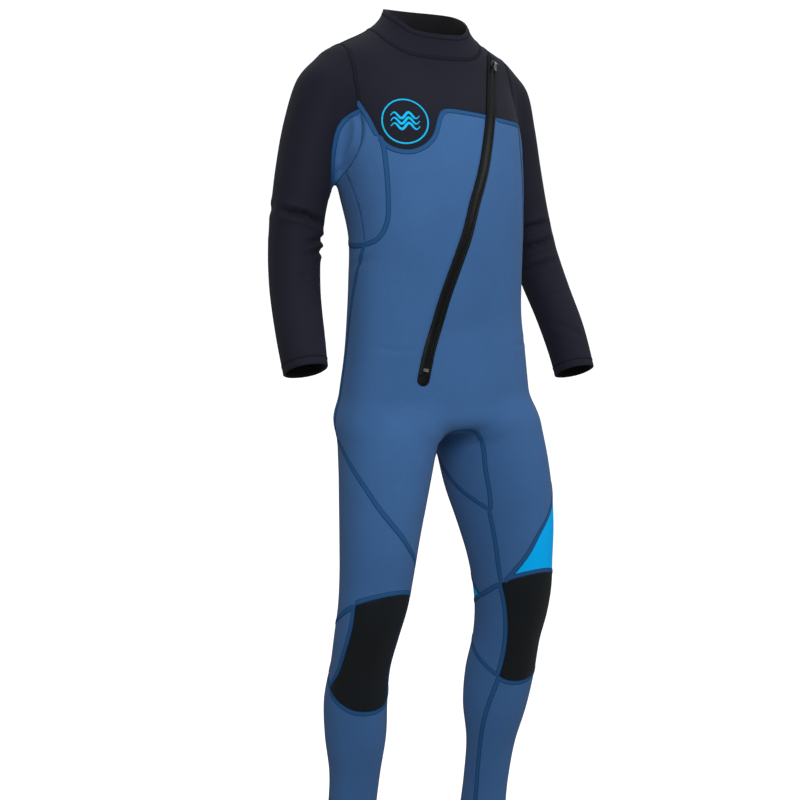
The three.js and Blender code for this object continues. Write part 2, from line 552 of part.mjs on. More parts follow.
const badgeCentre = frontOf(BADGE.x, BADGE.z);
const badgeOut = steepest(badgeCentre).normalize();
const badgeAcross = new THREE.Vector3(0, 0, 1).cross(badgeOut).normalize();
const badgeUp = new THREE.Vector3().crossVectors(badgeOut, badgeAcross);
const onBadge = (u, v) => settle(badgeCentre.clone().addScaledVector(badgeAcross, u).addScaledVector(badgeUp, v));
const circle = [...Array(28).keys()].map((i) => {
  const turn = (i / 28) * 2 * Math.PI;
  const reach = BADGE.radius - BADGE.band / 2;
  return onBadge(reach * Math.cos(turn), reach * Math.sin(turn));
});
add('badge_ring', clearOf(strip(circle, BADGE.band / 2, -0.6, 1.2, true), yokeRight), 'cyan');
BADGE.lines.forEach((height, n) => {
  const wave = [...Array(13).keys()].map((i) => {
    const u = (i / 12 - 0.5) * BADGE.wave;
    return onBadge(u, height + BADGE.swell * Math.sin((u / BADGE.wave) * 4 * Math.PI));
  });
  add(`badge_wave_${n + 1}`, clearOf(strip(wave, 1.1, -0.6, 1.2), yokeRight), 'cyan');
});

export default suit;
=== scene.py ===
"""A long-sleeved wetsuit with a slanting front zip, in the hollow form that it has when worn.

The cloth is cut the way a maker cuts it. One closed skin is laid over the worn form, every seam of the pattern
is cut into it, and each panel is then given its thickness, its lining and its hems. Flatlock seams, the zip and
the badge are laid on afterwards, on the same form.

Lengths in this script are millimetres above the floor that the wearer would stand on, with the front towards
-Y and the wearer's left towards +X. `to_frame` moves them into the part's own frame, in metres.
"""
from __future__ import annotations

import logging
import math
from collections import defaultdict
from collections.abc import Callable, Sequence
from dataclasses import dataclass, field
from enum import Enum

import bpy
import numpy as np
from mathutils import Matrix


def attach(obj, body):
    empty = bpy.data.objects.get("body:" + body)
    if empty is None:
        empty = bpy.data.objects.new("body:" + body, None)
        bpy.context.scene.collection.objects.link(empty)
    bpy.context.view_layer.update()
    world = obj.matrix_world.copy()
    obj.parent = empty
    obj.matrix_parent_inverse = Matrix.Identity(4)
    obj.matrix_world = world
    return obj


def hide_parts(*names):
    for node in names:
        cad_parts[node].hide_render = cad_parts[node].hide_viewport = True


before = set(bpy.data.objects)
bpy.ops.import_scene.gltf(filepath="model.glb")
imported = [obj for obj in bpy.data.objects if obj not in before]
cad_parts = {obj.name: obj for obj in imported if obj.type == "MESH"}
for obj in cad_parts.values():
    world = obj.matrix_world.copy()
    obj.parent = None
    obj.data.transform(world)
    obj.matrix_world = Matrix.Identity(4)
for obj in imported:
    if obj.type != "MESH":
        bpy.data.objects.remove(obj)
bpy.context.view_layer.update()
LOG = logging.getLogger("wetsuit")

# ---- driving dimensions ---------------------------------------------------------------------------------
ORIGIN = np.array([0.0, 60.0, 1450.0])
FABRIC = 3.0
SKIN_STEP = 4.5
GROOVE = 0.8
RIGHT_CUFF = (-257.5, -26.0, 972.0)
LEFT_CUFF = (258.0, -37.0, 948.0)
CUFF_TILT = 24.0
ANKLE_HEM = 100.0
HEM_DEPTH = 13.0
ZIP_WIDTH = 19.0
SUIT = "suit"

# Sections of the form: height, centre x, centre y, half width, front depth, back depth, squareness, turn.
TORSO = (
    (820, 0, 0, 174, 92, 118, 2.4, 0), (870, 0, 0, 176, 95, 125, 2.4, 0), (930, 0, 0, 169, 95, 120, 2.3, 0),
    (990, 0, 0, 161, 94, 112, 2.3, 0), (1050, -2, 0, 155, 94, 108, 2.25, 0), (1110, -2, 0, 152, 100, 106, 2.25, 0),
    (1180, 0, 6, 151, 111, 100, 2.3, 0), (1260, 0, 24, 159, 122, 104, 2.4, 0), (1320, 0, 36, 164, 122, 106, 2.4, 0),
    (1380, 0, 50, 166, 114, 102, 2.4, 0), (1430, 0, 62, 170, 96, 94, 2.3, 0), (1475, 0, 68, 167, 76, 82, 2.2, 0),
    (1510, 0, 66, 124, 58, 66, 2.2, 0), (1560, 0, 60, 60, 44, 52, 2.2, 0),
)
LEG = (
    (60, 139, 72, 40, 44, 46, 2.2, 0), (100, 139, 66, 40, 44, 46, 2.2, 0), (200, 139, 50, 39, 40, 42, 2.2, 0),
    (275, 140, 36, 42, 42, 46, 2.2, 8), (345, 144, 26, 51, 53, 62, 2.2, 24), (410, 147, 18, 53, 60, 65, 2.2, 26),
    (480, 147, 0, 50, 60, 62, 2.2, 25), (530, 144, -14, 53, 66, 64, 2.2, 25), (585, 138, -26, 57, 71, 71, 2.2, 25),
    (630, 132, -26, 60, 77, 75, 2.2, 25), (690, 124, -22, 65, 88, 86, 2.2, 25), (750, 115, -17, 71, 95, 98, 2.2, 25),
    (810, 106, -12, 77, 96, 102, 2.2, 24), (870, 96, -4, 82, 96, 106, 2.2, 18), (940, 88, 4, 82, 96, 106, 2.2, 10),
)
ARM = (
    (880, 258, -68, 34, 37, 37, 2.2, 0), (920, 258, -50, 34, 37, 37, 2.2, 0), (950, 258, -38, 34, 37, 37, 2.2, 0),
    (1030, 254, -2, 37, 41, 41, 2.2, 0), (1100, 245, 34, 39, 43, 43, 2.2, 0), (1170, 232, 60, 41, 45, 46, 2.2, 0),
    (1230, 219, 70, 43, 48, 49, 2.2, 0), (1300, 200, 76, 48, 55, 57, 2.2, 0), (1370, 180, 76, 52, 60, 62, 2.2, 0),
    (1430, 163, 72, 50, 58, 60, 2.2, 0), (1470, 148, 70, 44, 46, 50, 2.2, 0),
)
NECK = (
    (1450, 0, 56, 92, 60, 74, 2.1, 0), (1500, 0, 54, 82, 66, 70, 2.1, 0), (1540, 0, 48, 69, 66, 64, 2.1, 0),
    (1620, 0, 42, 67, 66, 64, 2.1, 0),
)

# Seams. Front ones are x, z; side ones are y, z; leg ones are the angle from the front outwards, z.
COLLAR_SEAM = ((-60, 1464), (-18, 1467), (5, 1486), (32, 1507), (60, 1516), (130, 1522), (170, 1523))
COLLAR_RIM = ((-60, 1503), (-14, 1505), (18, 1530), (60, 1549), (118, 1561), (170, 1563))
ARMHOLE = ((150, 1520), (150, 1378), (152, 1346), (157, 1311), (162, 1280), (165, 1225), (167, 1195))
UNDERARM = ((146, 1382), (162, 1372), (176, 1354), (183, 1327), (184, 1297), (179, 1259), (172, 1225), (160, 1205))
SHOULDER = ((58, 1372), (58, 1517))
ZIP_HEAD = ((112, 10), (117, 66))
YOKE_FRONT = (
    (-140, 1341), (-133, 1336), (-122, 1321), (-98, 1314), (-80, 1319), (-66, 1328), (-54, 1342), (-45, 1362),
    (-36, 1376), (-24, 1382), (-4, 1381), (30, 1378), (70, 1373), (109, 1370), (152, 1369),
)
YOKE_BACK = ((-156, 1380), (-110, 1366), (0, 1358), (110, 1366), (156, 1380))
SIDE_PANEL = (
    (14, 1428), (-4, 1396), (-26, 1366), (-40, 1341), (-48, 1325), (-55, 1294), (-61, 1238), (-59, 1200), (-47, 1177),
    (-22, 1168), (10, 1166), (45, 1170), (75, 1185), (100, 1215), (114, 1260), (121, 1300), (128, 1335), (137, 1362),
    (164, 1425),
)
UNDERARM_SEAM = ((26, 1296), (17, 1281), (1, 1256), (-13, 1219), (-19, 1178), (-21, 1160))
SIDE_SEAM = ((-22, 1172), (-5, 1130), (15, 1060), (28, 980), (32, 900))
HIP_RIGHT = (29, 832)
HIP_LEFT = (29, 806)
GUSSET_ARCH = (
    (-69, 716), (-66, 728), (-61, 758), (-52, 800), (-44, 843), (-31, 861), (0, 869), (31, 861), (44, 843),
    (52, 800), (61, 758), (66, 728), (69, 716),
)
GUSSET_LOW = ((-74, 718), (-63, 727), (-14, 757), (9, 776), (34, 799), (58, 835), (62, 890))
KNEE_TOP = ((-120, 627), (-64, 597), (-19, 568), (7, 554), (50, 534), (110, 520))
KNEE_LOW = ((-70, 407), (-38, 410), (-25, 420), (-1, 438), (20, 454), (45, 474), (80, 490), (120, 496))
LEG_FRONT = (
    (-51, 743), (-51, 672), (-52, 604), (-42, 546), (-35, 480), (-38, 421), (-55, 350), (-62, 299), (-62, 240),
    (-58, 180), (-58, 80),
)
LEG_INNER_BACK = ((-117, 874), (-124, 852), (-133, 831), (-140, 790), (-141, 588))
PAD_OUTER = ((55, 625), (54, 563), (57, 524), (68, 472), (80, 452), (92, 425))
CALF_OUTER = ((115, 500), (118, 420), (120, 350), (118, 250), (115, 80))
THIGH_BACK = ((155, 716), (180, 658), (205, 614), (234, 588), (258, 568), (272, 548))
THIGH_RIGHT = (
    (-62, 636), (-47, 650), (-15, 679), (8, 714), (30, 753), (51, 794), (79, 832), (100, 847), (118, 852),
    (127, 832), (135, 790), *THIGH_BACK,
)
THIGH_LEFT = (
    (-62, 584), (-45, 600), (-26, 624), (-8, 652), (10, 692), (29, 723), (51, 764), (79, 806), (100, 822),
    (118, 828), (127, 812), (135, 776), *THIGH_BACK,
)
ZIP_LINE = (
    (112, 1481), (88, 1431), (62, 1376), (44, 1330), (26, 1280), (6, 1232), (-10, 1183), (-27, 1136),
    (-42, 1092), (-56, 1040), (-69, 999), (-79, 955),
)


class Hand(Enum):
    """The wearer's two sides."""

    RIGHT = -1
    LEFT = 1

    @property
    def word(self) -> str:
        """The side's name as piece names use it."""
        return self.name.lower()


def to_frame(points: np.ndarray) -> np.ndarray:
    """Moves points from the maker's millimetres into the part's frame, in metres."""
    return (points - ORIGIN) / 1000.0


def unit(vectors: np.ndarray) -> np.ndarray:
    """Scales each row to a length of one."""
    return vectors / (np.linalg.norm(vectors, axis=-1, keepdims=True) + 1e-12)


def curve(points: Sequence[Sequence[float]], stride: float, closed: bool = False) -> np.ndarray:
    """A smooth centripetal curve through some points, sampled evenly.

    Args:
        points: The points that it passes through, in any number of dimensions.
        stride: The distance between samples, roughly.
        closed: Whether it returns to its first point.

    Returns:
        The samples, one a row. A closed curve doesn't repeat its first one.
    """
    p = np.asarray(points, float)
    before, after = (p[-1:], p[:2]) if closed else (2 * p[:1] - p[1:2], 2 * p[-1:] - p[-2:-1])
    q = np.concatenate([before, p, after])
    rows = []
    t = np.linspace(0, 1, 24, endpoint=False)[:, None]
    for a, b, c, d in zip(q[:-3], q[1:-2], q[2:-1], q[3:], strict=True):
        ab, bc, cd = (max(float(np.linalg.norm(n - m)) ** 0.5, 1e-6) for m, n in ((a, b), (b, c), (c, d)))
        start = ((b - a) / ab - (c - a) / (ab + bc) + (c - b) / bc) * bc
        finish = ((c - b) / bc - (d - b) / (bc + cd) + (d - c) / cd) * bc
        rows.append(b * (2 * t**3 - 3 * t**2 + 1) + start * (t**3 - 2 * t**2 + t)
                    + c * (3 * t**2 - 2 * t**3) + finish * (t**3 - t**2))
    rows.append(p[:1] if closed else p[-1:])
    return resample(np.concatenate(rows), stride)[: -1 if closed else None]


def resample(line: np.ndarray, stride: float) -> np.ndarray:
    """Places points evenly along a line, about one for each stride."""
    steps = np.linalg.norm(np.diff(line, axis=0), axis=1)
    reach = np.concatenate([[0.0], np.cumsum(steps)])
    places = np.linspace(0, reach[-1], max(int(math.ceil(reach[-1] / stride)), 1) + 1)
    return np.stack([np.interp(places, reach, line[:, k]) for k in range(line.shape[1])], axis=1)


# ---- the worn form --------------------------------------------------------------------------------------
@dataclass(frozen=True)
class Sections:
    """Level sections of a tube, from the lowest up."""

    rows: tuple[tuple[float, ...], ...]

    def at(self, height: np.ndarray) -> np.ndarray:
        """The section at each height, by a smooth curve through the rows, as seven columns."""
        table = np.asarray(self.rows, float)
        knots, values = table[:, 0], table[:, 1:]
        span = np.diff(knots)[:, None]
        slope = np.diff(values, axis=0) / span
        inner = (slope[:-1] * span[1:] + slope[1:] * span[:-1]) / (span[1:] + span[:-1])
        tangent = np.concatenate([slope[:1], inner, slope[-1:]])
        z = np.clip(height, knots[0], knots[-1])
        i = np.clip(np.searchsorted(knots, z, side="right") - 1, 0, len(knots) - 2)
        s = ((z - knots[i]) / span[i, 0])[:, None]
        return ((2 * s**3 - 3 * s**2 + 1) * values[i] + (s**3 - 2 * s**2 + s) * span[i] * tangent[i]
                + (3 * s**2 - 2 * s**3) * values[i + 1] + (s**3 - s**2) * span[i] * tangent[i + 1])

    def outside(self, side: int, x: np.ndarray, y: np.ndarray, section: np.ndarray) -> np.ndarray:
        """How far points lie outside the tube, roughly; side is -1 for the mirrored one."""
        cx, cy, width, front, back, power, turn = section.T
        cos, sin = np.cos(np.radians(turn)), np.sin(np.radians(turn))
        ex, ey = x * side - cx, y - cy
        dx, dy = ex * cos + ey * sin, ey * cos - ex * sin
        depth = np.where(dy < 0, front, back)
        reach = np.hypot(dx, dy) + 1e-9
        ratio = (np.abs(dx / width) ** power + np.abs(dy / depth) ** power) ** (1 / power) + 1e-9
        return reach - reach / ratio


def soft_min(a: np.ndarray, b: np.ndarray, soft: float) -> np.ndarray:
    """The smaller of two distances, rounded over where they are nearly the same."""
    h = np.clip(0.5 + (b - a) / (2 * soft), 0, 1)
    return b + (a - b) * h - soft * h * (1 - h)


def soft_max(a: np.ndarray, b: np.ndarray, soft: float) -> np.ndarray:
    """The larger of two distances, rounded over where they are nearly the same."""
    return -soft_min(-a, -b, soft)


@dataclass(frozen=True)
class Crease:
    """A soft fold pressed into the cloth along a line, with a low ridge on each side of it."""

    line: tuple[tuple[float, float, float], ...]
    depth: float
    width: float
    ridge: float = 0.42

    def relief(self, points: np.ndarray) -> np.ndarray:
        """How far the cloth stands out at some points because of this fold; into the fold is negative."""
        line = curve(self.line, self.width / 2)
        reach = 5 * self.width
        out = np.zeros(len(points))
        near = np.all((points > line.min(0) - reach) & (points < line.max(0) + reach), axis=1)
        if not near.any():
            return out
        gaps = np.linalg.norm(points[near][:, None] - line[None], axis=2)
        nearest = gaps.argmin(1)
        d = gaps.min(1) / self.width
        taper = np.sin(math.pi * (nearest + 0.5) / len(line)) ** 0.6
        out[near] = taper * self.depth * (self.ridge * np.exp(-((d - 2.0) ** 2)) - np.exp(-(d**2)))
        return out


@dataclass(frozen=True)
class Swell:
    """A soft round rise or hollow in the cloth."""

    centre: tuple[float, float, float]
    radii: tuple[float, float, float]
    height: float

    def relief(self, points: np.ndarray) -> np.ndarray:
        """How far the cloth stands out at some points because of it."""
        d = np.linalg.norm((points - np.array(self.centre)) / np.array(self.radii), axis=1)
        return self.height * np.exp(-(d**2))


@dataclass
class WornForm:
    """The outside of the worn suit, closed at its mouths, with the folds that lie on it."""

    torso: Sections = Sections(TORSO)
    leg: Sections = Sections(LEG)
    arm: Sections = Sections(ARM)
    neck: Sections = Sections(NECK)
    folds: list[Crease | Swell] = field(default_factory=list)

    def distance(self, points: np.ndarray) -> np.ndarray:
        """How far points lie outside the smooth form, roughly."""
        x, y, z = points.T
        trunk = soft_max(soft_max(self.torso.outside(1, x, y, self.torso.at(z)), z - 1520, 60), 862 - z, 40)
        section = self.leg.at(z)
        legs = soft_min(self.leg.outside(1, x, y, section), self.leg.outside(-1, x, y, section), 16)
        legs = np.maximum(soft_max(legs, z - 900, 40), 20 - z)
        neck = np.maximum(soft_max(self.neck.outside(1, x, y, self.neck.at(z)), 1440 - z, 10), z - 1650)
        side = np.where(x < 0, -1, 1)
        arms = self.arm.outside(1, x * side, y, self.arm.at(z))
        sleeves = soft_max(np.maximum(arms, 860 - z), z - 1476, 50)
        return soft_min(soft_min(soft_min(trunk, legs, 26), neck, 40), sleeves, 22)

    def steepest(self, points: np.ndarray) -> np.ndarray:
        """The direction out of the form, with its steepness as its length."""
        out = np.zeros_like(points)
        for corner in ((1, -1, -1), (-1, -1, 1), (-1, 1, -1), (1, 1, 1)):
            step = np.array(corner, float)
            out += step * (self.distance(points + 0.5 * step) / 2.0)[:, None]
        return out

    def outward(self, points: np.ndarray) -> np.ndarray:
        """The unit direction out of the form."""
        return unit(self.steepest(points))

    def settle(self, points: np.ndarray, rounds: int = 3) -> np.ndarray:
        """Moves points on to the form."""
        for _ in range(rounds):
            g = self.steepest(points)
            steep = np.linalg.norm(g, axis=1) + 1e-9
            away = np.clip(self.distance(points) / steep, -15, 15)
            points = points - (away / steep)[:, None] * g
        return points

    def land(self, outer: np.ndarray, inner: np.ndarray) -> np.ndarray:
        """Where the way from each outer point to its inner point first meets the form."""
        shares = np.linspace(0, 1, 81)
        way = outer[:, None] + (inner - outer)[:, None] * shares[None, :, None]
        within = self.distance(way.reshape(-1, 3)).reshape(len(outer), -1) < 0
        first = np.maximum(within.argmax(1), 1)
        low, high = shares[first - 1], shares[first]
        for _ in range(14):
            middle = (low + high) / 2
            inside = self.distance(outer + (inner - outer) * middle[:, None]) < 0
            low, high = np.where(inside, low, middle), np.where(inside, middle, high)
        return outer + (inner - outer) * high[:, None]

    def relief(self, points: np.ndarray) -> np.ndarray:
        """How far the cloth stands out from the smooth form because of its folds."""
        return sum((fold.relief(points) for fold in self.folds), np.zeros(len(points)))

    def on_cloth(self, points: np.ndarray, height: float | np.ndarray = 0.0) -> np.ndarray:
        """Points of the form lifted on to the cloth's folds, and by a height more."""
        return points + self.outward(points) * (self.relief(points) + height)[:, None]


# ---- the skin and the cuts in it ------------------------------------------------------------------------
def edge_keys(pairs: np.ndarray) -> np.ndarray:
    """One whole number for each undirected edge."""
    return (pairs.min(1).astype(np.int64) << 32) | pairs.max(1).astype(np.int64)


def face_edges(faces: np.ndarray) -> np.ndarray:
    """The three edges of each triangle, all first edges, then all second and all third ones."""
    return np.concatenate([faces[:, [0, 1]], faces[:, [1, 2]], faces[:, [2, 0]]])


@dataclass(frozen=True)
class View:
    """The skin's points as one flat view of the garment sees them."""

    across: np.ndarray
    up: np.ndarray
    allowed: np.ndarray


@dataclass
class Skin:
    """A closed sheet of triangles over the form, and the edges where it has been cut."""

    form: WornForm
    points: np.ndarray
    faces: np.ndarray
    seams: np.ndarray = field(default_factory=lambda: np.zeros(0, np.int64))
    cloth: np.ndarray = field(default_factory=lambda: np.zeros(0, int))

    @classmethod
    def laid_over(cls, form: WornForm, low: Sequence[float], high: Sequence[float], step: float) -> Skin:
        """Wraps a form in even triangles.

        Args:
            form: What is wrapped.
            low: A corner of a box around it.
            high: The opposite corner.
            step: The size of the triangles.

        Returns:
            The skin, with every point on the form.
        """
        rough = 4
        count = np.array([int(math.ceil((h - l) / (rough * step))) for l, h in zip(low, high, strict=True)])
        axes = [low[k] + step * rough * np.arange(count[k] + 1) for k in range(3)]
        coarse = form.distance(np.stack(np.meshgrid(*axes, indexing="ij"), -1).reshape(-1, 3))
        coarse = coarse.reshape(count + 1)
        cells = np.full(tuple(count), np.inf)
        for i, j, k in np.ndindex(2, 2, 2):
            part = np.abs(coarse[i:i + count[0], j:j + count[1], k:k + count[2]])
            cells = np.minimum(cells, part)
        near = cells < 2.0 * rough * step
        value = np.repeat(np.repeat(np.repeat(coarse[:-1, :-1, :-1], rough, 0), rough, 1), rough, 2)
        place = np.argwhere(np.repeat(np.repeat(np.repeat(near, rough, 0), rough, 1), rough, 2))
        value[tuple(place.T)] = form.distance(place * step + np.array(low, float))
        points, quads = cls._net(value, np.array(low, float), step)
        flat = np.linalg.norm(points[quads[:, 0]] - points[quads[:, 2]], axis=1)
        other = np.linalg.norm(points[quads[:, 1]] - points[quads[:, 3]], axis=1)
        first = (flat <= other)[:, None]
        faces = np.concatenate([
            np.where(first, quads[:, [0, 1, 2]], quads[:, [0, 1, 3]]),
            np.where(first, quads[:, [0, 2, 3]], quads[:, [1, 2, 3]]),
        ])
        skin = cls(form, form.settle(points), faces, cloth=np.zeros(len(faces), int))
        skin._relax(3)
        return skin

    @staticmethod
    def _net(value: np.ndarray, low: np.ndarray, step: float) -> tuple[np.ndarray, np.ndarray]:
        """One point for each crossed cell of a grid of distances, and a quad for each crossed grid edge."""
        inside = value < 0
        size = np.array(value.shape) - 1
        total = sum(inside[i:i + size[0], j:j + size[1], k:k + size[2]].astype(np.int8)
                    for i, j, k in np.ndindex(2, 2, 2))
        cells = np.argwhere((total > 0) & (total < 8))
        number = np.full(tuple(size), -1, np.int64)
        number[tuple(cells.T)] = np.arange(len(cells))
        spot, hits = np.zeros((len(cells), 3)), np.zeros(len(cells))
        for axis in range(3):
            for i, j in np.ndindex(2, 2):
                start = np.insert(np.array([i, j]), axis, 0)
                a = value[tuple((cells + start).T)]
                b = value[tuple((cells + start + np.eye(3, dtype=int)[axis]).T)]
                crossed = (a < 0) != (b < 0)
                share = np.where(crossed, a / np.where(crossed, a - b, 1), 0)
                at = start + share[:, None] * np.eye(3)[axis]
                spot += np.where(crossed[:, None], at, 0)
                hits += crossed
        points = (cells + spot / hits[:, None]) * step + low
        quads = []
        for axis in range(3):
            ahead = np.eye(3, dtype=int)[axis]
            u, v = np.eye(3, dtype=int)[(axis + 1) % 3], np.eye(3, dtype=int)[(axis + 2) % 3]
            stop = np.array(value.shape) - ahead
            a, b = inside[:stop[0], :stop[1], :stop[2]], inside[ahead[0]:, ahead[1]:, ahead[2]:]
            for leaving in (True, False):
                here = np.argwhere(a & ~b if leaving else ~a & b)
                here = here[np.all((here + ahead < value.shape) & (here - u - v >= 0) & (here < size), axis=1)]
                ring = [number[tuple((here - du * u - dv * v).T)] for du, dv in ((1, 1), (0, 1), (0, 0), (1, 0))]
                quad = np.stack(ring if leaving else ring[::-1], axis=1)
                quads.append(quad[(quad >= 0).all(1)])
        return points, np.concatenate(quads)

    def _relax(self, rounds: int) -> None:
        """Evens out the triangles while their corners stay on the form."""
        pairs = np.unique(edge_keys(face_edges(self.faces)))
        a, b = pairs >> 32, pairs & 0xFFFFFFFF
        ends, mates = np.concatenate([a, b]), np.concatenate([b, a])
        degree = np.bincount(ends, minlength=len(self.points))[:, None]
        for _ in range(rounds):
            mean = np.stack([np.bincount(ends, self.points[mates, k], len(self.points)) for k in range(3)], 1)
            self.points = self.form.settle(self.points + 0.6 * (mean / degree - self.points), 1)
        self.points = self.form.settle(self.points, 2)

    def cut(self, view: View, line: np.ndarray, cloth: int) -> None:
        """Cuts one cloth of the skin along a line of a flat view.

        Args:
            view: The skin's points in that view.
            line: The line, one point a row.
            cloth: The number of the cloth that is cut.
        """
        across, up, allowed = view.across, view.up, view.allowed
        margin = 3 * SKIN_STEP
        low, high = line.min(0) - margin, line.max(0) + margin
        near = allowed & (across > low[0]) & (across < high[0]) & (up > low[1]) & (up < high[1])
        inner = self.cloth == cloth
        local = self.faces[near[self.faces].any(1) & inner]
        keys = np.unique(edge_keys(face_edges(local)))
        a, b = keys >> 32, keys & 0xFFFFFFFF
        fit = allowed[a] & allowed[b] & (np.abs(across[a] - across[b]) < 90)
        keys, a, b = keys[fit], a[fit], b[fit]
        start = np.stack([across[a], up[a]], 1)
        way = np.stack([across[b], up[b]], 1) - start
        floor, top = np.minimum(start, start + way), np.maximum(start, start + way)
        hits, share = np.zeros(len(keys), int), np.zeros(len(keys))
        for p, q in zip(line[:-1], line[1:], strict=True):
            close = np.all((top >= np.minimum(p, q)) & (floor <= np.maximum(p, q)), axis=1)
            i = np.flatnonzero(close)
            d = q - p
            cross = way[i, 0] * d[1] - way[i, 1] * d[0]
            cross = np.where(np.abs(cross) < 1e-12, 1e-12, cross)
            t = ((p[0] - start[i, 0]) * d[1] - (p[1] - start[i, 1]) * d[0]) / cross
            s = ((p[0] - start[i, 0]) * way[i, 1] - (p[1] - start[i, 1]) * way[i, 0]) / cross
            good = (t > 0) & (t < 1) & (s >= 0) & (s < 1)
            hits[i[good]] += 1
            share[i[good]] = t[good]
        once = hits == 1
        if once.any():
            self._split(keys[once], np.clip(share[once], 0.04, 0.96), inner)

    def _split(self, keys: np.ndarray, share: np.ndarray, inner: np.ndarray) -> None:
        """Puts a point on each of some edges and divides the triangles there, noting the edges of the cut."""
        a, b = keys >> 32, keys & 0xFFFFFFFF
        fresh = self.points[a] + share[:, None] * (self.points[b] - self.points[a])
        offset = len(self.points)
        self.points = np.concatenate([self.points, self.form.settle(fresh, 2)])
        middle = np.arange(len(keys)) + offset
        old = np.isin(keys, self.seams)
        halves = np.concatenate([np.stack([a, middle], 1)[old], np.stack([middle, b], 1)[old]])
        self.seams = np.concatenate([self.seams[~np.isin(self.seams, keys)], edge_keys(halves)])
        own = edge_keys(face_edges(self.faces)).reshape(3, -1).T
        slot = np.clip(np.searchsorted(keys, own), 0, len(keys) - 1)
        point = np.where(keys[slot] == own, middle[slot], -1)
        parts = (point >= 0).sum(1)
        kept, cloths, cuts = [self.faces[parts == 0]], [self.cloth[parts == 0]], []

        def divide(chosen: np.ndarray, corners: np.ndarray, *trios: tuple[int, int, int]) -> None:
            """Replaces the chosen triangles by new ones of their corners and the points on their edges."""
            for trio in trios:
                kept.append(corners[chosen][:, trio])
                cloths.append(self.cloth[chosen])

        for turn in range(3):
            both = np.concatenate([np.roll(self.faces, -turn, axis=1), np.roll(point, -turn, axis=1)], axis=1)
            divide((parts == 1) & (both[:, 3] >= 0), both, (0, 3, 2), (3, 1, 2))
            two = (parts == 2) & (both[:, 3] >= 0) & (both[:, 5] >= 0)
            divide(two, both, (0, 3, 5), (3, 1, 2), (3, 2, 5))
            cuts.append(both[two & inner][:, [3, 5]])
        divide(parts == 3, np.concatenate([self.faces, point], axis=1), (0, 3, 5), (3, 1, 4), (4, 2, 5), (3, 4, 5))
        cuts += [point[(parts == 3) & inner][:, pair] for pair in ([0, 1], [1, 2], [2, 0])]
        self.faces, self.cloth = np.concatenate(kept), np.concatenate(cloths)
        self.seams = np.unique(np.concatenate([self.seams, edge_keys(np.concatenate(cuts))]))

    def neighbours(self) -> tuple[np.ndarray, np.ndarray]:
        """The pairs of triangles that share an edge, and the number of that edge."""
        keys = edge_keys(face_edges(self.faces))
        owner = np.tile(np.arange(len(self.faces)), 3)
        order = np.argsort(keys, kind="stable")
        keys, owner = keys[order], owner[order]
        same = np.flatnonzero(keys[:-1] == keys[1:])
        return np.stack([owner[same], owner[same + 1]], 1), keys[same]

    def parts(self) -> np.ndarray:
        """A number for each triangle, the same for all that no cut parts."""
        pairs, keys = self.neighbours()
        a, b = pairs[~np.isin(keys, self.seams)].T
        label = np.arange(len(self.faces))
        while True:
            low = np.minimum(label[a], label[b])
            new = label.copy()
            np.minimum.at(new, label[a], low)
            np.minimum.at(new, label[b], low)
            new = new[new]
            new = new[new]
            if np.array_equal(new, label):
                return label
            label = new

    def nearest_part(self, label: np.ndarray, place: Sequence[float]) -> int:
        """The number of the part that comes nearest to a place."""
        middle = self.points[self.faces].mean(1)
        return int(label[np.linalg.norm(middle - np.array(place, float), axis=1).argmin()])

    def set_apart(self, places: Sequence[Sequence[float]]) -> None:
        """Makes the parts nearest to some places cloths of their own, numbered from 1 in that order."""
        label = self.parts()
        for number, place in enumerate(places, 1):
            self.cloth[label == self.nearest_part(label, place)] = number

    def wear_names(self, probes: dict[str, tuple[float, float, float]]) -> np.ndarray:
        """Gives every triangle the place in a list of names that its panel has.

        Args:
            probes: For each name, a place near its panel and near no other one.

        Returns:
            The number of its name for each triangle. Crumbs join the panel that they share most edges with.
        """
        label = self.parts()
        owner = {self.nearest_part(label, place): i for i, place in enumerate(probes.values())}
        if len(owner) < len(probes):
            raise ValueError("two names fall on one panel: " + ", ".join(
                n for i, n in enumerate(probes) if i not in owner.values()))
        named = np.array([owner.get(int(v), -1) for v in label])
        pairs, _ = self.neighbours()
        while (named < 0).any():
            a, b = named[pairs].T
            loose = np.concatenate([label[pairs[(a < 0) & (b >= 0), 0]], label[pairs[(b < 0) & (a >= 0), 1]]])
            host = np.concatenate([b[(a < 0) & (b >= 0)], a[(b < 0) & (a >= 0)]])
            if not len(loose):
                break
            for crumb in np.unique(loose):
                named[label == crumb] = np.bincount(host[loose == crumb]).argmax()
        return named

    def keep(self, wanted: np.ndarray) -> None:
        """Drops the triangles that aren't wanted."""
        self.faces, self.cloth = self.faces[wanted], self.cloth[wanted]


def front_view(points: np.ndarray, low: float, high: float, side: int = 0) -> View:
    """The garment from the front: x across and z up, for the points whose y lies between two values."""
    x, y, z = points.T
    return View(x * (side or 1), z, (y > low) & (y < high) & ((side == 0) | (x * side > 0)))


def side_view(points: np.ndarray, low: float, high: float) -> View:
    """The garment from its side: y across and z up, for the points whose x lies between two values."""
    x, y, z = points.T
    return View(y, z, (x > low) & (x < high))


def plan_view(points: np.ndarray, low: float, high: float) -> View:
    """The garment from above: x and y, for the points whose height lies between two values."""
    x, y, z = points.T
    return View(x, y, (z > low) & (z < high))


def leg_view(form: WornForm, points: np.ndarray, side: int, middle: float) -> View:
    """One leg unrolled: degrees from the front outwards, centred on a middle, and z up."""
    x, y, z = points.T
    cx, cy = form.leg.at(z).T[:2]
    turn = np.degrees(np.arctan2(side * x - cx, cy - y))
    turn = (turn - middle + 180) % 360 - 180 + middle
    reach = np.hypot(side * x - cx, y - cy)
    return View(turn, z, (side * x > 0) & (reach > 22) & (reach < 125) & (z < 900))


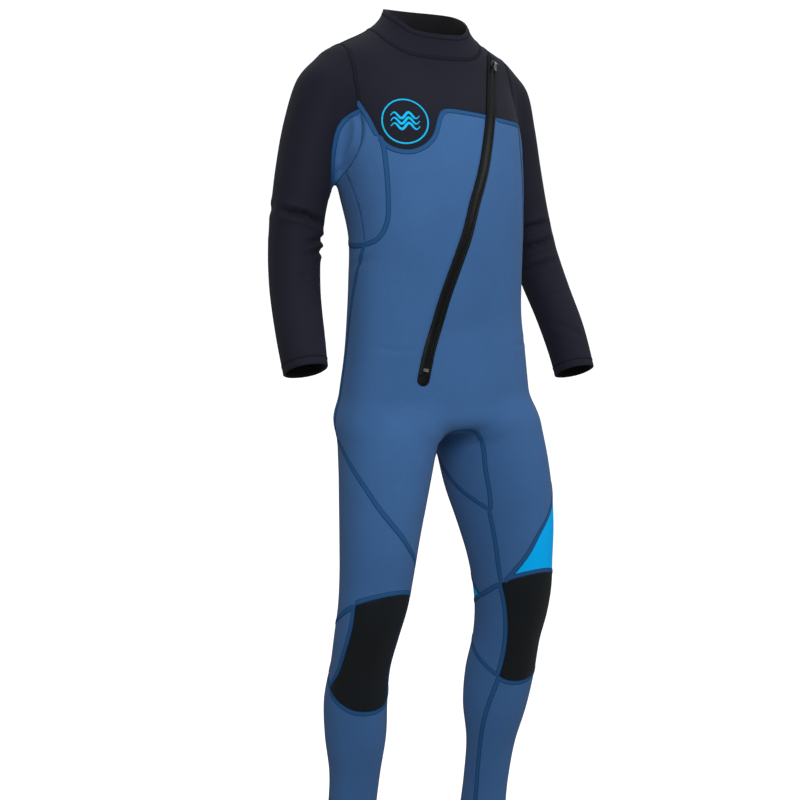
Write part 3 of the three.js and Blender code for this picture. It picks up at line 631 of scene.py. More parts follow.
# ---- the pattern ----------------------------------------------------------------------------------------
class Finish(Enum):
    """What a piece is made of, by the slot that it has in the part's record."""

    BLACK = "black_neoprene"
    BLUE = "blue_neoprene"
    CYAN = "cyan_neoprene"
    PAD = "knee_pad"
    TAPE = "zip_tape"
    METAL = "slider_metal"
    PRINT = "badge_print"


@dataclass(frozen=True)
class Panel:
    """One cut piece of cloth."""

    name: str
    probe: tuple[float, float, float]
    finish: Finish
    flat: tuple[float, float]
    area: float


def mirrored_panels(hand: Hand) -> list[Panel]:
    """The panels that both sides of the suit have, for one of them."""
    s, word = hand.value, hand.word
    thigh = Finish.BLUE if hand is Hand.RIGHT else Finish.CYAN
    thigh_cut = ((0.30, 0.33), 0.0548) if hand is Hand.RIGHT else ((0.30, 0.28), 0.0464)
    return [
        Panel(f"sleeve_{word}", (s * 250, 0, 1000), Finish.BLACK, (0.33, 0.62), 0.109),
        Panel(f"underarm_{word}", (s * 172, 10, 1310), Finish.BLUE, (0.06, 0.19), 0.0075),
        Panel(f"side_front_{word}", (s * 140, -45, 1240), Finish.BLUE, (0.07, 0.24), 0.0104),
        Panel(f"side_back_{word}", (s * 140, 80, 1240), Finish.BLUE, (0.12, 0.27), 0.0197),
        Panel(f"lower_thigh_{word}", (s * 185, -60, 680), thigh, *thigh_cut),
        Panel(f"inner_thigh_{word}", (s * 68, 0, 680), Finish.BLUE, (0.12, 0.32), 0.0211),
        Panel(f"knee_pad_{word}", (s * 150, -68, 500), Finish.PAD, (0.13, 0.19), 0.0203),
        Panel(f"knee_back_{word}", (s * 147, 60, 500), Finish.BLUE, (0.19, 0.19), 0.0244),
        Panel(f"shin_{word}", (s * 150, -20, 300), Finish.BLUE, (0.15, 0.40), 0.0424),
        Panel(f"calf_{word}", (s * 140, 85, 320), Finish.BLUE, (0.18, 0.45), 0.0532),
    ]


PANELS = [
    Panel("collar", (0, -12, 1490), Finish.BLACK, (0.06, 0.47), 0.0184),
    Panel("yoke_front_right", (-60, -60, 1420), Finish.BLACK, (0.22, 0.26), 0.0351),
    Panel("yoke_front_left", (125, -20, 1400), Finish.BLACK, (0.09, 0.14), 0.0084),
    Panel("yoke_back", (0, 150, 1420), Finish.BLACK, (0.17, 0.40), 0.0538),
    Panel("body_front", (-90, -90, 1100), Finish.BLUE, (0.46, 0.86), 0.2427),
    Panel("body_back", (0, 110, 1000), Finish.BLUE, (0.44, 0.84), 0.2163),
    Panel("gusset", (0, 0, 850), Finish.BLUE, (0.14, 0.33), 0.022),
    Panel("zip_tape", (20, -95, 1250), Finish.TAPE, (0.0195, 0.595), 0.0112),
    *mirrored_panels(Hand.RIGHT),
    *mirrored_panels(Hand.LEFT),
]


@dataclass
class Zip:
    """The front zip: its tape in the cloth, two rows of teeth, a cover flap, a slider and a pull tab."""

    form: WornForm
    width: float = ZIP_WIDTH

    def path(self, stride: float) -> np.ndarray:
        """The zip's line in front view, evenly sampled."""
        return curve(ZIP_LINE, stride)

    def on_form(self, stride: float) -> np.ndarray:
        """The zip's line on the form."""
        line = self.path(stride)
        outer = np.stack([line[:, 0], np.full(len(line), -200.0), line[:, 1]], 1)
        return self.form.land(outer, outer + np.array([0, 260.0, 0]))

    def outline(self) -> np.ndarray:
        """The tape's outline in front view, closed on itself: down one side, round the end and back."""
        line = self.path(6.0)
        along = unit(np.gradient(line, axis=0))
        normal = np.stack([-along[:, 1], along[:, 0]], 1) * self.width / 2
        turns = np.radians(np.linspace(-75, 75, 11) + 13)
        end = line[-1] - np.stack([np.sin(turns), np.cos(turns)], 1) * self.width / 2
        ring = np.concatenate([line + normal, end, (line - normal)[::-1]])
        return np.concatenate([ring, ring[:1]])


@dataclass
class Pattern:
    """The suit's cloth: the skin, cut along every seam, and the names of its panels."""

    form: WornForm
    zip_line: Zip
    skin: Skin = field(init=False)
    named: np.ndarray = field(init=False)

    def __post_init__(self) -> None:
        """Wraps the form and cuts the mouths, the sleeves, the zip's band and the trunk's seams."""
        self.skin = Skin.laid_over(self.form, (-330, -198, -16), (330, 206, 1740), SKIN_STEP)
        LOG.info("skin of %d triangles", len(self.skin.faces))
        self._open_mouths()
        for side in (-1, 1):
            self._cut(lambda p, s=side: front_view(p, -90, 200, s), curve(ARMHOLE, 3.0))
        self.skin.set_apart(((-250, 0, 1000), (250, 0, 1000)))
        for side, sleeve in ((-1, 1), (1, 2)):
            self._cut(lambda p, s=side: front_view(p, -90, 200, s), curve(UNDERARM, 3.0), sleeve)
        self._cut(lambda p: front_view(p, -140, 62), self.zip_line.outline())
        self._cut(lambda p: plan_view(p, 1440, 1560), curve(ZIP_HEAD, 3.0))
        self.skin.set_apart(((-250, 0, 1000), (250, 0, 1000), (20, -95, 1250)))
        self._cut_trunk()
        self.named = self.skin.wear_names({panel.name: panel.probe for panel in PANELS})
        LOG.info("%d panels from %d triangles", len(PANELS), len(self.skin.faces))

    def _cut(self, make: Callable[[np.ndarray], View], line: np.ndarray, cloth: int = 0) -> None:
        """Cuts one cloth of the skin along a line of one view."""
        self.skin.cut(make(self.skin.points), line, cloth)

    def _open_mouths(self) -> None:
        """Cuts off the closed ends of the neck, the sleeves and the legs."""
        self._cut(lambda p: side_view(p, -120, 120), curve(COLLAR_RIM, 3.0))
        slope = math.tan(math.radians(CUFF_TILT))
        for (x, y, z), side in ((RIGHT_CUFF, -1), (LEFT_CUFF, 1)):
            low, high = sorted((side * 200, side * 330))
            line = np.array([[y - 80, z + 80 * slope], [y + 80, z - 80 * slope]])
            self._cut(lambda p, a=low, b=high: side_view(p, a, b), line)
        self._cut(lambda p: side_view(p, -230, 230), np.array([[-100, ANKLE_HEM], [205, ANKLE_HEM]]))
        label = self.skin.parts()
        ends = ((0, 42, 1650), (-258, -68, 870), (258, -68, 870), (-139, 72, 30), (139, 72, 30))
        unwanted = [self.skin.nearest_part(label, end) for end in ends]
        self.skin.keep(~np.isin(label, unwanted))

    def _cut_trunk(self) -> None:
        """Cuts the seams of the trunk and the legs."""
        cuts: list[tuple[Callable[[np.ndarray], View], Sequence[Sequence[float]]]] = [
            (lambda p: side_view(p, -118, 118), COLLAR_SEAM),
            (lambda p: front_view(p, -140, 20), YOKE_FRONT),
            (lambda p: front_view(p, 75, 190), YOKE_BACK),
            (lambda p: side_view(p, -200, -60), SHOULDER),
            (lambda p: side_view(p, 60, 200), SHOULDER),
            (lambda p: front_view(p, -140, -35), GUSSET_ARCH),
            (lambda p: side_view(p, -80, 80), GUSSET_LOW),
            (lambda p: side_view(p, -230, 230), KNEE_TOP),
            (lambda p: side_view(p, -230, 230), KNEE_LOW),
        ]
        for hand in Hand:
            side = hand.value
            low, high = sorted((60 * side, 190 * side))
            hip = HIP_RIGHT if hand is Hand.RIGHT else HIP_LEFT
            thigh = THIGH_RIGHT if hand is Hand.RIGHT else THIGH_LEFT
            for seam in (SIDE_PANEL, UNDERARM_SEAM, (*SIDE_SEAM, hip)):
                cuts.append((lambda p, a=low, b=high: side_view(p, a, b), seam))
            for seam in (LEG_FRONT, LEG_INNER_BACK, PAD_OUTER, CALF_OUTER, thigh):
                middle = (min(t for t, _ in seam) + max(t for t, _ in seam)) / 2
                cuts.append((lambda p, s=side, m=middle: leg_view(self.form, p, s, m), seam))
        for make, seam in cuts:
            self._cut(make, curve(seam, 3.0))


# ---- strips that lie on the cloth -----------------------------------------------------------------------
@dataclass(frozen=True)
class Solid:
    """A closed surface in millimetres, with values on its points that a finish may use."""

    points: np.ndarray
    faces: tuple[np.ndarray, ...]
    values: dict[str, np.ndarray] = field(default_factory=dict)

    def turned_out(self) -> Solid:
        """The same surface with its faces looking outwards."""
        volume = 0.0
        for group in self.faces:
            a = self.points[group[:, 0]]
            for k in range(1, group.shape[1] - 1):
                volume += float((a * np.cross(self.points[group[:, k]], self.points[group[:, k + 1]])).sum())
        return self if volume > 0 else Solid(self.points, tuple(g[:, ::-1] for g in self.faces), self.values)

    @staticmethod
    def joined(solids: Sequence[Solid]) -> Solid:
        """Several surfaces as one."""
        offsets = np.cumsum([0] + [len(s.points) for s in solids])
        faces = tuple(g + o for s, o in zip(solids, offsets, strict=False) for g in s.faces)
        values = {key: np.concatenate([s.values[key] for s in solids]) for key in solids[0].values}
        return Solid(np.concatenate([s.points for s in solids]), faces, values)


@dataclass
class Strip:
    """A strip that runs along a line on the cloth."""

    form: WornForm
    line: np.ndarray
    closed: bool = False

    def frames(self) -> tuple[np.ndarray, np.ndarray]:
        """The unit directions across the strip and out of the cloth at each point of its line."""
        line = self.line
        if self.closed:
            along = np.roll(line, -1, 0) - np.roll(line, 1, 0)
        else:
            along = np.gradient(line, axis=0)
        out = self.form.outward(line)
        return unit(np.cross(out, along)), out

    def placed(self, across: np.ndarray, height: np.ndarray) -> np.ndarray:
        """Points beside the line.

        Args:
            across: How far across each point lies, a row for each point of the line.
            height: How far above the cloth, likewise.

        Returns:
            The points, with the same rows and columns.
        """
        side, _ = self.frames()
        flat = (self.line[:, None] + across[:, :, None] * side[:, None]).reshape(-1, 3)
        flat = self.form.settle(flat, 2)
        return self.form.on_cloth(flat, height.reshape(-1)).reshape(*across.shape, 3)

    def swept(self, section: np.ndarray) -> Solid:
        """Sweeps a closed section along the line.

        Args:
            section: The section's points as across and height, or one such list for each point of the line.

        Returns:
            The strip, with its length and its breadth as values.
        """
        count = len(self.line)
        rows = np.broadcast_to(section, (count, *section.shape[-2:]))
        points = self.placed(rows[:, :, 0], rows[:, :, 1])
        size = rows.shape[1]
        spots = np.arange(count * size).reshape(count, size)
        ahead = np.roll(spots, -1, 0) if self.closed else spots[1:]
        here = spots if self.closed else spots[:-1]
        quads = np.stack([here, np.roll(here, -1, 1), np.roll(ahead, -1, 1), ahead], -1).reshape(-1, 4)
        faces = (quads,) if self.closed else (quads, spots[:1, ::-1], spots[-1:])
        steps = np.linalg.norm(np.diff(self.line, axis=0), axis=1)
        reach = np.concatenate([[0.0], np.cumsum(steps)])
        middle = (rows[:, :, 0].max(1) + rows[:, :, 0].min(1)) / 2
        half = (rows[:, :, 0].max(1) - rows[:, :, 0].min(1)) / 2
        values = {"along": np.repeat(reach, size),
                  "across": ((rows[:, :, 0] - middle[:, None]) / half[:, None]).reshape(-1)}
        return Solid(points.reshape(-1, 3), faces, values).turned_out()


def domed(low: float, high: float, height: float, depth: float = 1.0) -> np.ndarray:
    """A section with a flat underside and a softly domed top.

    Args:
        low: How far across its first side lies.
        high: How far across its other side lies.
        height: How high it stands above the cloth.
        depth: How far it reaches into the cloth.

    Returns:
        Its points, as across and height.
    """
    u = np.linspace(-1, 1, 9)
    top = np.stack([(low + high) / 2 + u * (high - low) / 2, height * (1 - np.abs(u) ** 5)], 1)
    return np.concatenate([top, [[high, -depth], [low, -depth]]])


# ---- finishes -------------------------------------------------------------------------------------------
Socket = bpy.types.NodeSocket


@dataclass
class Graph:
    """Shorthand for laying out shader nodes in one tree."""

    tree: bpy.types.NodeTree

    def node(self, kind: str, **settings: object) -> bpy.types.Node:
        """Adds a node and sets some of its properties."""
        made = self.tree.nodes.new(kind)
        for key, value in settings.items():
            setattr(made, key, value)
        return made

    def feed(self, socket: Socket, value: Socket | float | tuple[float, ...]) -> None:
        """Links a socket to another one or gives it a value."""
        if isinstance(value, bpy.types.NodeSocket):
            self.tree.links.new(value, socket)
        else:
            socket.default_value = value

    def sum(self, kind: str, *terms: Socket | float) -> Socket:
        """The result of one arithmetic step."""
        made = self.node("ShaderNodeMath", operation=kind)
        for place, term in enumerate(terms):
            self.feed(made.inputs[place], term)
        return made.outputs[0]

    def noise(self, where: Socket, scale: float, detail: float = 3.0, rough: float = 0.5) -> Socket:
        """Soft noise between nought and one."""
        made = self.node("ShaderNodeTexNoise")
        self.feed(made.inputs["Vector"], where)
        for key, value in (("Scale", scale), ("Detail", detail), ("Roughness", rough)):
            made.inputs[key].default_value = value
        return made.outputs[0]

    def between(self, value: Socket, low: float, high: float, first: float = 0.0, last: float = 1.0) -> Socket:
        """Maps one span of values softly on to another."""
        made = self.node("ShaderNodeMapRange", interpolation_type="SMOOTHSTEP")
        for place, term in enumerate((value, low, high, first, last)):
            self.feed(made.inputs[place], term)
        return made.outputs[0]

    def blend(self, share: Socket, first: tuple[float, ...] | Socket, second: tuple[float, ...] | Socket) -> Socket:
        """A colour between two others."""
        made = self.node("ShaderNodeMix", data_type="RGBA")
        for key, term in ((0, share), (6, first), (7, second)):
            self.feed(made.inputs[key], term)
        return made.outputs[2]


def new_group(name: str, outputs: Sequence[str]) -> tuple[bpy.types.ShaderNodeTree, Graph, bpy.types.Node]:
    """Starts a node group whose outputs are single values.

    Args:
        name: What the group is called.
        outputs: The names of its outputs.

    Returns:
        The group, shorthand for its nodes, and its output node.
    """
    tree = bpy.data.node_groups.new(name, "ShaderNodeTree")
    for label in outputs:
        tree.interface.new_socket(name=label, in_out="OUTPUT", socket_type="NodeSocketFloat")
    graph = Graph(tree)
    return tree, graph, graph.node("NodeGroupOutput")


def knit_group() -> bpy.types.ShaderNodeTree:
    """The jersey face of the cloth: a soft mottle, the height of its fine knit and a finer grain."""
    tree, g, out = new_group("knit", ("Mottle", "Height", "Grain"))
    where = g.node("ShaderNodeTexCoord").outputs["Object"]
    broad = g.noise(where, 9.0, 4.0, 0.55)
    fine = g.noise(where, 900.0, 2.0, 0.6)
    speck = g.noise(where, 260.0, 3.0, 0.6)
    g.feed(out.inputs["Mottle"], g.between(broad, 0.3, 0.7))
    g.feed(out.inputs["Height"], g.sum("ADD", g.sum("MULTIPLY", fine, 0.7), g.sum("MULTIPLY", speck, 0.5)))
    g.feed(out.inputs["Grain"], g.between(speck, 0.35, 0.7))
    return tree


def stitch_group() -> bpy.types.ShaderNodeTree:
    """A flatlock seam: the two dark needle lines at its edges and the threads that zigzag between them."""
    tree, g, out = new_group("stitch", ("Edge", "Thread"))
    along = g.node("ShaderNodeAttribute", attribute_name="along").outputs["Fac"]
    across = g.node("ShaderNodeAttribute", attribute_name="across").outputs["Fac"]
    away = g.sum("ABSOLUTE", across)
    g.feed(out.inputs["Edge"], g.between(away, 0.66, 0.8))
    slant = g.sum("SINE", g.sum("ADD", g.sum("MULTIPLY", along, 4.2), g.sum("MULTIPLY", across, 3.6)))
    g.feed(out.inputs["Thread"], g.sum("MULTIPLY", g.between(slant, -0.7, 0.9), g.between(away, 0.9, 0.7)))
    return tree


def wear_group() -> bpy.types.ShaderNodeTree:
    """Light handling marks on metal."""
    tree, g, out = new_group("handling", ("Scuff", "Height"))
    where = g.node("ShaderNodeTexCoord").outputs["Object"]
    g.feed(out.inputs["Scuff"], g.between(g.noise(where, 420.0, 4.0, 0.6), 0.42, 0.68))
    g.feed(out.inputs["Height"], g.noise(where, 1500.0, 2.0, 0.5))
    return tree


@dataclass(frozen=True)
class ClothLook:
    """How a cloth looks: its two mottled colours, how rough it is and how strong its knit shows."""

    name: str
    light: tuple[float, float, float]
    dark: tuple[float, float, float]
    roughness: float = 0.85
    specular: float = 0.2
    sheen: float = 0.12
    bump: float = 0.25

    def material(self, knit: bpy.types.ShaderNodeTree) -> bpy.types.Material:
        """Makes the material."""
        made = bpy.data.materials.new(self.name)
        made.use_nodes = True
        g = Graph(made.node_tree)
        surface = made.node_tree.nodes["Principled BSDF"]
        group = g.node("ShaderNodeGroup", node_tree=knit)
        tint = g.sum("ADD", g.sum("MULTIPLY", group.outputs["Mottle"], 0.6),
                     g.sum("MULTIPLY", group.outputs["Grain"], 0.4))
        g.feed(surface.inputs["Base Color"], g.blend(tint, (*self.dark, 1.0), (*self.light, 1.0)))
        bump = g.node("ShaderNodeBump")
        bump.inputs["Strength"].default_value = self.bump
        bump.inputs["Distance"].default_value = 0.0006
        g.feed(bump.inputs["Height"], group.outputs["Height"])
        g.feed(surface.inputs["Normal"], bump.outputs[0])
        for key, value in (("Roughness", self.roughness), ("Specular IOR Level", self.specular),
                           ("Sheen Weight", self.sheen), ("Sheen Roughness", 0.5)):
            surface.inputs[key].default_value = value
        return made


@dataclass(frozen=True)
class SeamLook:
    """How a seam's threads look: their colour, a darker copy of it painted as shade in the gaps between the zigzag
    threads, and the colour of the needle lines beside them.
    """

    name: str
    thread: tuple[float, float, float]
    edge: tuple[float, float, float]
    roughness: float = 0.75

    def material(self, stitch: bpy.types.ShaderNodeTree) -> bpy.types.Material:
        """Makes the material."""
        made = bpy.data.materials.new(self.name)
        made.use_nodes = True
        g = Graph(made.node_tree)
        surface = made.node_tree.nodes["Principled BSDF"]
        group = g.node("ShaderNodeGroup", node_tree=stitch)
        # Painted shade: the gaps between the zigzag threads take 0.78 of the thread colour, as if shaded in the
        # hollows between threads.
        gap_shade = tuple(0.78 * v for v in self.thread)
        threads_with_gap_shade = g.blend(group.outputs["Thread"], (*gap_shade, 1.0), (*self.thread, 1.0))
        g.feed(surface.inputs["Base Color"], g.blend(group.outputs["Edge"], threads_with_gap_shade, (*self.edge, 1.0)))
        bump = g.node("ShaderNodeBump")
        bump.inputs["Strength"].default_value = 0.5
        bump.inputs["Distance"].default_value = 0.0004
        g.feed(bump.inputs["Height"], group.outputs["Thread"])
        g.feed(surface.inputs["Normal"], bump.outputs[0])
        surface.inputs["Roughness"].default_value = self.roughness
        surface.inputs["Specular IOR Level"].default_value = 0.12
        return made


@dataclass(frozen=True)
class MetalLook:
    """How the slider's metal looks."""

    name: str
    colour: tuple[float, float, float]
    roughness: float

    def material(self, wear: bpy.types.ShaderNodeTree) -> bpy.types.Material:
        """Makes the material."""
        made = bpy.data.materials.new(self.name)
        made.use_nodes = True
        g = Graph(made.node_tree)
        surface = made.node_tree.nodes["Principled BSDF"]
        group = g.node("ShaderNodeGroup", node_tree=wear)
        dull = tuple(0.7 * v for v in self.colour)
        g.feed(surface.inputs["Base Color"], g.blend(group.outputs["Scuff"], (*self.colour, 1.0), (*dull, 1.0)))
        g.feed(surface.inputs["Roughness"], g.between(group.outputs["Scuff"], 0.0, 1.0, self.roughness,
                                                      self.roughness + 0.18))
        surface.inputs["Metallic"].default_value = 1.0
        return made


class Looks:
    """Every material of the suit."""

    def __init__(self) -> None:
        """Makes the node groups first and then the materials that use them."""
        knit, stitch, wear = knit_group(), stitch_group(), wear_group()
        black, blue, cyan = (0.0105, 0.0112, 0.0215), (0.049, 0.135, 0.318), (0.0, 0.46, 1.0)
        self.of = {
            Finish.BLACK: ClothLook("black cloth", black, (0.009, 0.0095, 0.0175), 0.8, 0.15, 0.03).material(knit),
            Finish.BLUE: ClothLook("steel blue cloth", blue, (0.043, 0.118, 0.28), 0.86, 0.1, 0.05).material(knit),
            Finish.CYAN: ClothLook("cyan cloth", cyan, (0.0, 0.43, 0.96), 0.86, 0.1, 0.0).material(knit),
            Finish.PAD: ClothLook("knee pad", (0.009, 0.0115, 0.0135), (0.007, 0.009, 0.011), 0.5, 0.14, 0.0,
                                  0.3).material(knit),
            Finish.TAPE: ClothLook("zip tape", (0.0032, 0.0044, 0.0046), (0.0022, 0.0032, 0.0034), 0.45, 0.16, 0.0,
                                   0.3).material(knit),
            Finish.METAL: MetalLook("slider metal", (0.34, 0.34, 0.35), 0.28).material(wear),
            Finish.PRINT: ClothLook("badge print", (0.0, 0.52, 0.9), (0.0, 0.48, 0.86), 0.5, 0.12, 0.0,
                                    0.05).material(knit),
        }
        self.lining = ClothLook("lining", (0.012, 0.012, 0.014), (0.008, 0.008, 0.01), 0.9, 0.15).material(knit)
        self.blue_seam = SeamLook("blue seam", (0.021, 0.098, 0.255), (0.0075, 0.045, 0.125)).material(stitch)
        self.black_seam = SeamLook("black seam", (0.009, 0.0096, 0.0175), (0.004, 0.0045, 0.007)).material(stitch)
        self.teeth = ClothLook("zip teeth", (0.018, 0.02, 0.022), (0.012, 0.014, 0.015), 0.35, 0.5, 0.0,
                               0.0).material(knit)


@dataclass
class Workshop:
    """Turns solids into pieces of the suit."""

    looks: Looks

    def piece(self, name: str, solid: Solid, materials: Sequence[bpy.types.Material], finish: Finish,
              lining: np.ndarray | None = None, replaced: Sequence[str] = (), body: str = SUIT,
              crease: float = 42.0) -> bpy.types.Object:
        """Makes one piece.

        Args:
            name: What it is called.
            solid: Its surface.
            materials: Its materials.
            finish: The slot it takes its finish from. Not used.
            lining: For each face, which of the materials it has. All have the first where it is left out.
            replaced: The plain nodes that it stands for.
            body: What it moves with.
            crease: The angle in degrees from which an edge is sharp.

        Returns:
            The new object.
        """
        mesh = bpy.data.meshes.new(name)
        corners = np.concatenate([g.reshape(-1) for g in solid.faces]).astype(np.int32)
        sizes = np.concatenate([np.full(len(g), g.shape[1]) for g in solid.faces])
        starts = np.concatenate([[0], np.cumsum(sizes)[:-1]]).astype(np.int32)
        mesh.vertices.add(len(solid.points))
        mesh.vertices.foreach_set("co", to_frame(solid.points).astype(np.float32).reshape(-1))
        mesh.loops.add(len(corners))
        mesh.loops.foreach_set("vertex_index", corners)
        mesh.polygons.add(len(starts))
        mesh.polygons.foreach_set("loop_start", starts)
        if lining is not None:
            mesh.polygons.foreach_set("material_index", lining.astype(np.int32))
        mesh.update(calc_edges=True)
        for key, value in solid.values.items():
            made = mesh.attributes.new(key, "FLOAT", "POINT")
            made.data.foreach_set("value", value.astype(np.float32))
        mesh.shade_smooth()
        mesh.set_sharp_from_angle(angle=math.radians(crease))
        for material in materials:
            mesh.materials.append(material)
        thing = bpy.data.objects.new(name, mesh)
        bpy.context.scene.collection.objects.link(thing)
        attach(thing, body)
        if replaced:
            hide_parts(*replaced)
        LOG.info("%s: %d faces", name, len(starts))
        return thing


# ---- the pieces of the suit -----------------------------------------------------------------------------
@dataclass
class Cloth:
    """The cut panels, made up with their thickness and their lining."""

    pattern: Pattern
    fabric: float = FABRIC
    groove: float = GROOVE

    def build(self, shop: Workshop) -> None:
        """Makes every panel."""
        skin, form = self.pattern.skin, self.pattern.form
        out = form.outward(skin.points)
        relief = form.relief(skin.points)
        for number, panel in enumerate(PANELS):
            faces = skin.faces[self.pattern.named == number]
            used, local = np.unique(faces, return_inverse=True)
            local = local.reshape(-1, 3)
            directed = face_edges(local)
            keys = edge_keys(directed)
            _, first, count = np.unique(keys, return_index=True, return_counts=True)
            rim = directed[first[count == 1]]
            sunk = np.zeros(len(used))
            sunk[rim.reshape(-1)] = -self.groove
            base = skin.points[used] + out[used] * (relief[used] + sunk)[:, None]
            inner = skin.points[used] + out[used] * (relief[used] - self.fabric)[:, None]
            size = len(used)
            walls = np.stack([rim[:, 1], rim[:, 0], rim[:, 0] + size, rim[:, 1] + size], 1)
            solid = Solid(np.concatenate([base, inner]), (local, local[:, ::-1] + size, walls))
            lined = np.concatenate([np.zeros(len(local)), np.ones(len(local)), np.zeros(len(walls))])
            made = shop.piece(f"cloth_{panel.name}", solid, (shop.looks.of[panel.finish], shop.looks.lining),
                              panel.finish, lined, (panel.name,))


@dataclass(frozen=True)
class SeamCut:
    """The section of one sort of seam: where its two sides lie, with the cloth that it leans on at the high side."""

    low: float
    high: float
    height: float


class SeamSort(Enum):
    """The sorts of seam in the suit."""

    CENTRED = SeamCut(-4.2, 4.2, 0.8)
    LEANING = SeamCut(-0.4, 7.8, 0.8)
    THIN = SeamCut(-1.0, 1.0, 0.4)
    BLACK = SeamCut(-3.2, 3.2, 0.7)


@dataclass
class Seams:
    """The flatlock seams along the edges where two panels meet, and the stitched hems."""

    pattern: Pattern

    def build(self, shop: Workshop) -> None:
        """Makes a strip for every seam and hem, one piece for each pair of panels."""
        skin = self.pattern.skin
        pairs, keys = skin.neighbours()
        names = self.pattern.named[pairs]
        border = names[:, 0] != names[:, 1]
        pairs, keys, names = pairs[border], keys[border], np.sort(names[border], axis=1)
        middle = skin.points[skin.faces].mean(1)
        for first, second in np.unique(names, axis=0):
            chosen = (names == (first, second)).all(1)
            a, b = PANELS[first], PANELS[second]
            if Finish.TAPE in (a.finish, b.finish):
                continue
            sort, towards = self._sort(a, b)
            ends = np.stack([keys[chosen] >> 32, keys[chosen] & 0xFFFFFFFF], 1)
            lean = self._lean(pairs[chosen], ends, second if towards else first, middle)
            look = shop.looks.black_seam if sort is SeamSort.BLACK else shop.looks.blue_seam
            slot = Finish.BLACK if sort is SeamSort.BLACK else Finish.BLUE
            strips = [self._strip(path, closed, sort.value, lean) for path, closed in chained(ends)
                      if len(path) > 4]
            strips = [s for s in strips if s is not None]
            if strips:
                shop.piece(f"seam_{a.name}_{b.name}", Solid.joined(strips), (look,), slot)
        self._hems(shop)

    @staticmethod
    def _sort(a: Panel, b: Panel) -> tuple[SeamSort, bool]:
        """Chooses the sort of seam that two panels share.

        Args:
            a: The first panel.
            b: The second panel.

        Returns:
            The sort, and whether it leans on the second panel.
        """
        dark = {Finish.BLACK, Finish.PAD}
        sides = {name.rsplit("_", 1)[0] for name in (a.name, b.name)}
        if sides == {"side_front", "side_back"} or ("underarm" in sides and sides != {"underarm", "sleeve"}):
            return SeamSort.THIN, True
        if a.finish in dark and b.finish in dark:
            return SeamSort.BLACK, True
        if a.finish in dark or b.finish in dark:
            return SeamSort.LEANING, a.finish in dark
        return SeamSort.CENTRED, True

    def _lean(self, pairs: np.ndarray, ends: np.ndarray, panel: int, middle: np.ndarray) -> dict[int, np.ndarray]:
        """Finds the way into the panel that a seam leans on.

        Args:
            pairs: The two triangles at each edge of the seam.
            ends: The two points of each of those edges.
            panel: The number of the panel.
            middle: The middle of every triangle.

        Returns:
            The direction for each point of the seam.
        """
        own = np.where(self.pattern.named[pairs[:, 0]] == panel, pairs[:, 0], pairs[:, 1])
        into = middle[own] - self.pattern.skin.points[ends].mean(1)
        table: dict[int, np.ndarray] = defaultdict(lambda: np.zeros(3))
        for (a, b), way in zip(ends, into, strict=True):
            table[int(a)] = table[int(a)] + way
            table[int(b)] = table[int(b)] + way
        return table

    def _strip(self, path: list[int], closed: bool, cut: SeamCut, lean: dict[int, np.ndarray]) -> Solid | None:
        """One strip along a chain of points.

        Args:
            path: The skin's points along the seam, in order.
            closed: Whether the last one joins the first.
            cut: The section of the seam.
            lean: The way into the panel that the seam leans on, for each point.

        Returns:
            The strip, or nothing where the seam is too short to be stitched.
        """
        form, points = self.pattern.form, self.pattern.skin.points
        line = points[path]
        into = np.array([lean[p] for p in path])
        if closed:
            line = np.concatenate([line, line[:1]])
        if np.linalg.norm(np.diff(line, axis=0), axis=1).sum() < 30:
            return None
        line = smoothed(line, 14, closed)
        line = resample(line, 3.5)[: -1 if closed else None]
        line = form.settle(smoothed(line, 3, False) if not closed else line, 2)
        strip = Strip(form, line, closed)
        side, _ = strip.frames()
        nearest = np.linalg.norm(line[:, None] - points[path][None], axis=2).argmin(1)
        facing = float((side * into[nearest]).sum())
        section = domed(cut.low, cut.high, cut.height)
        if facing < 0:
            section = section * np.array([-1.0, 1.0])
        rows = np.repeat(section[None], len(line), 0)
        if not closed:
            reach = np.minimum(np.arange(len(line)), np.arange(len(line))[::-1])
            rows[:, :, 0] *= np.interp(reach, (0, 1, 2), (0.45, 0.85, 1.0))[:, None]
            rows[:, :, 1] -= np.interp(reach, (0, 1), (0.35, 0.0))[:, None]
        return strip.swept(rows)

    def _hems(self, shop: Workshop) -> None:
        """The stitched line a little inside each mouth."""
        skin, form = self.pattern.skin, self.pattern.form
        directed = face_edges(skin.faces)
        keys = edge_keys(directed)
        _, first, count = np.unique(keys, return_index=True, return_counts=True)
        open_edges = directed[first[count == 1]]
        mouths = [path for path, closed in chained(open_edges) if closed and len(path) > 20]
        strips = []
        for path in mouths:
            line = skin.points[path]
            line = resample(smoothed(np.concatenate([line, line[:1]]), 14, True), 3.5)[:-1]
            strip = Strip(form, form.settle(line, 2), True)
            side, _ = strip.frames()
            centre = line.mean(0)
            inwards = -1.0 if centre[2] > 1400 else 1.0
            sign = 1.0 if float(side[:, 2].mean()) * inwards > 0 else -1.0
            depth = 7.0 if centre[2] > 1400 else HEM_DEPTH
            hem = strip.line + sign * depth * side
            hem = form.settle(form.settle(hem, 2), 2)
            strips.append(Strip(form, hem, True).swept(domed(-1.3, 1.3, 0.55)))
        shop.piece("hem_stitching", Solid.joined(strips), (shop.looks.black_seam,), Finish.BLACK)


def smoothed(line: np.ndarray, rounds: int, closed: bool) -> np.ndarray:
    """Takes the small wiggles out of a line.

    Args:
        line: Its points. A closed one repeats its first point at the end.
        rounds: How often it is smoothed.
        closed: Whether it is closed. The ends of an open one stay where they are.

    Returns:
        The smoother line.
    """
    for _ in range(rounds):
        if closed:
            body = line[:-1]
            body = body / 2 + (np.roll(body, 1, 0) + np.roll(body, -1, 0)) / 4
            line = np.concatenate([body, body[:1]])
        else:
            line = np.concatenate([line[:1], line[1:-1] / 2 + (line[:-2] + line[2:]) / 4, line[-1:]])
    return line


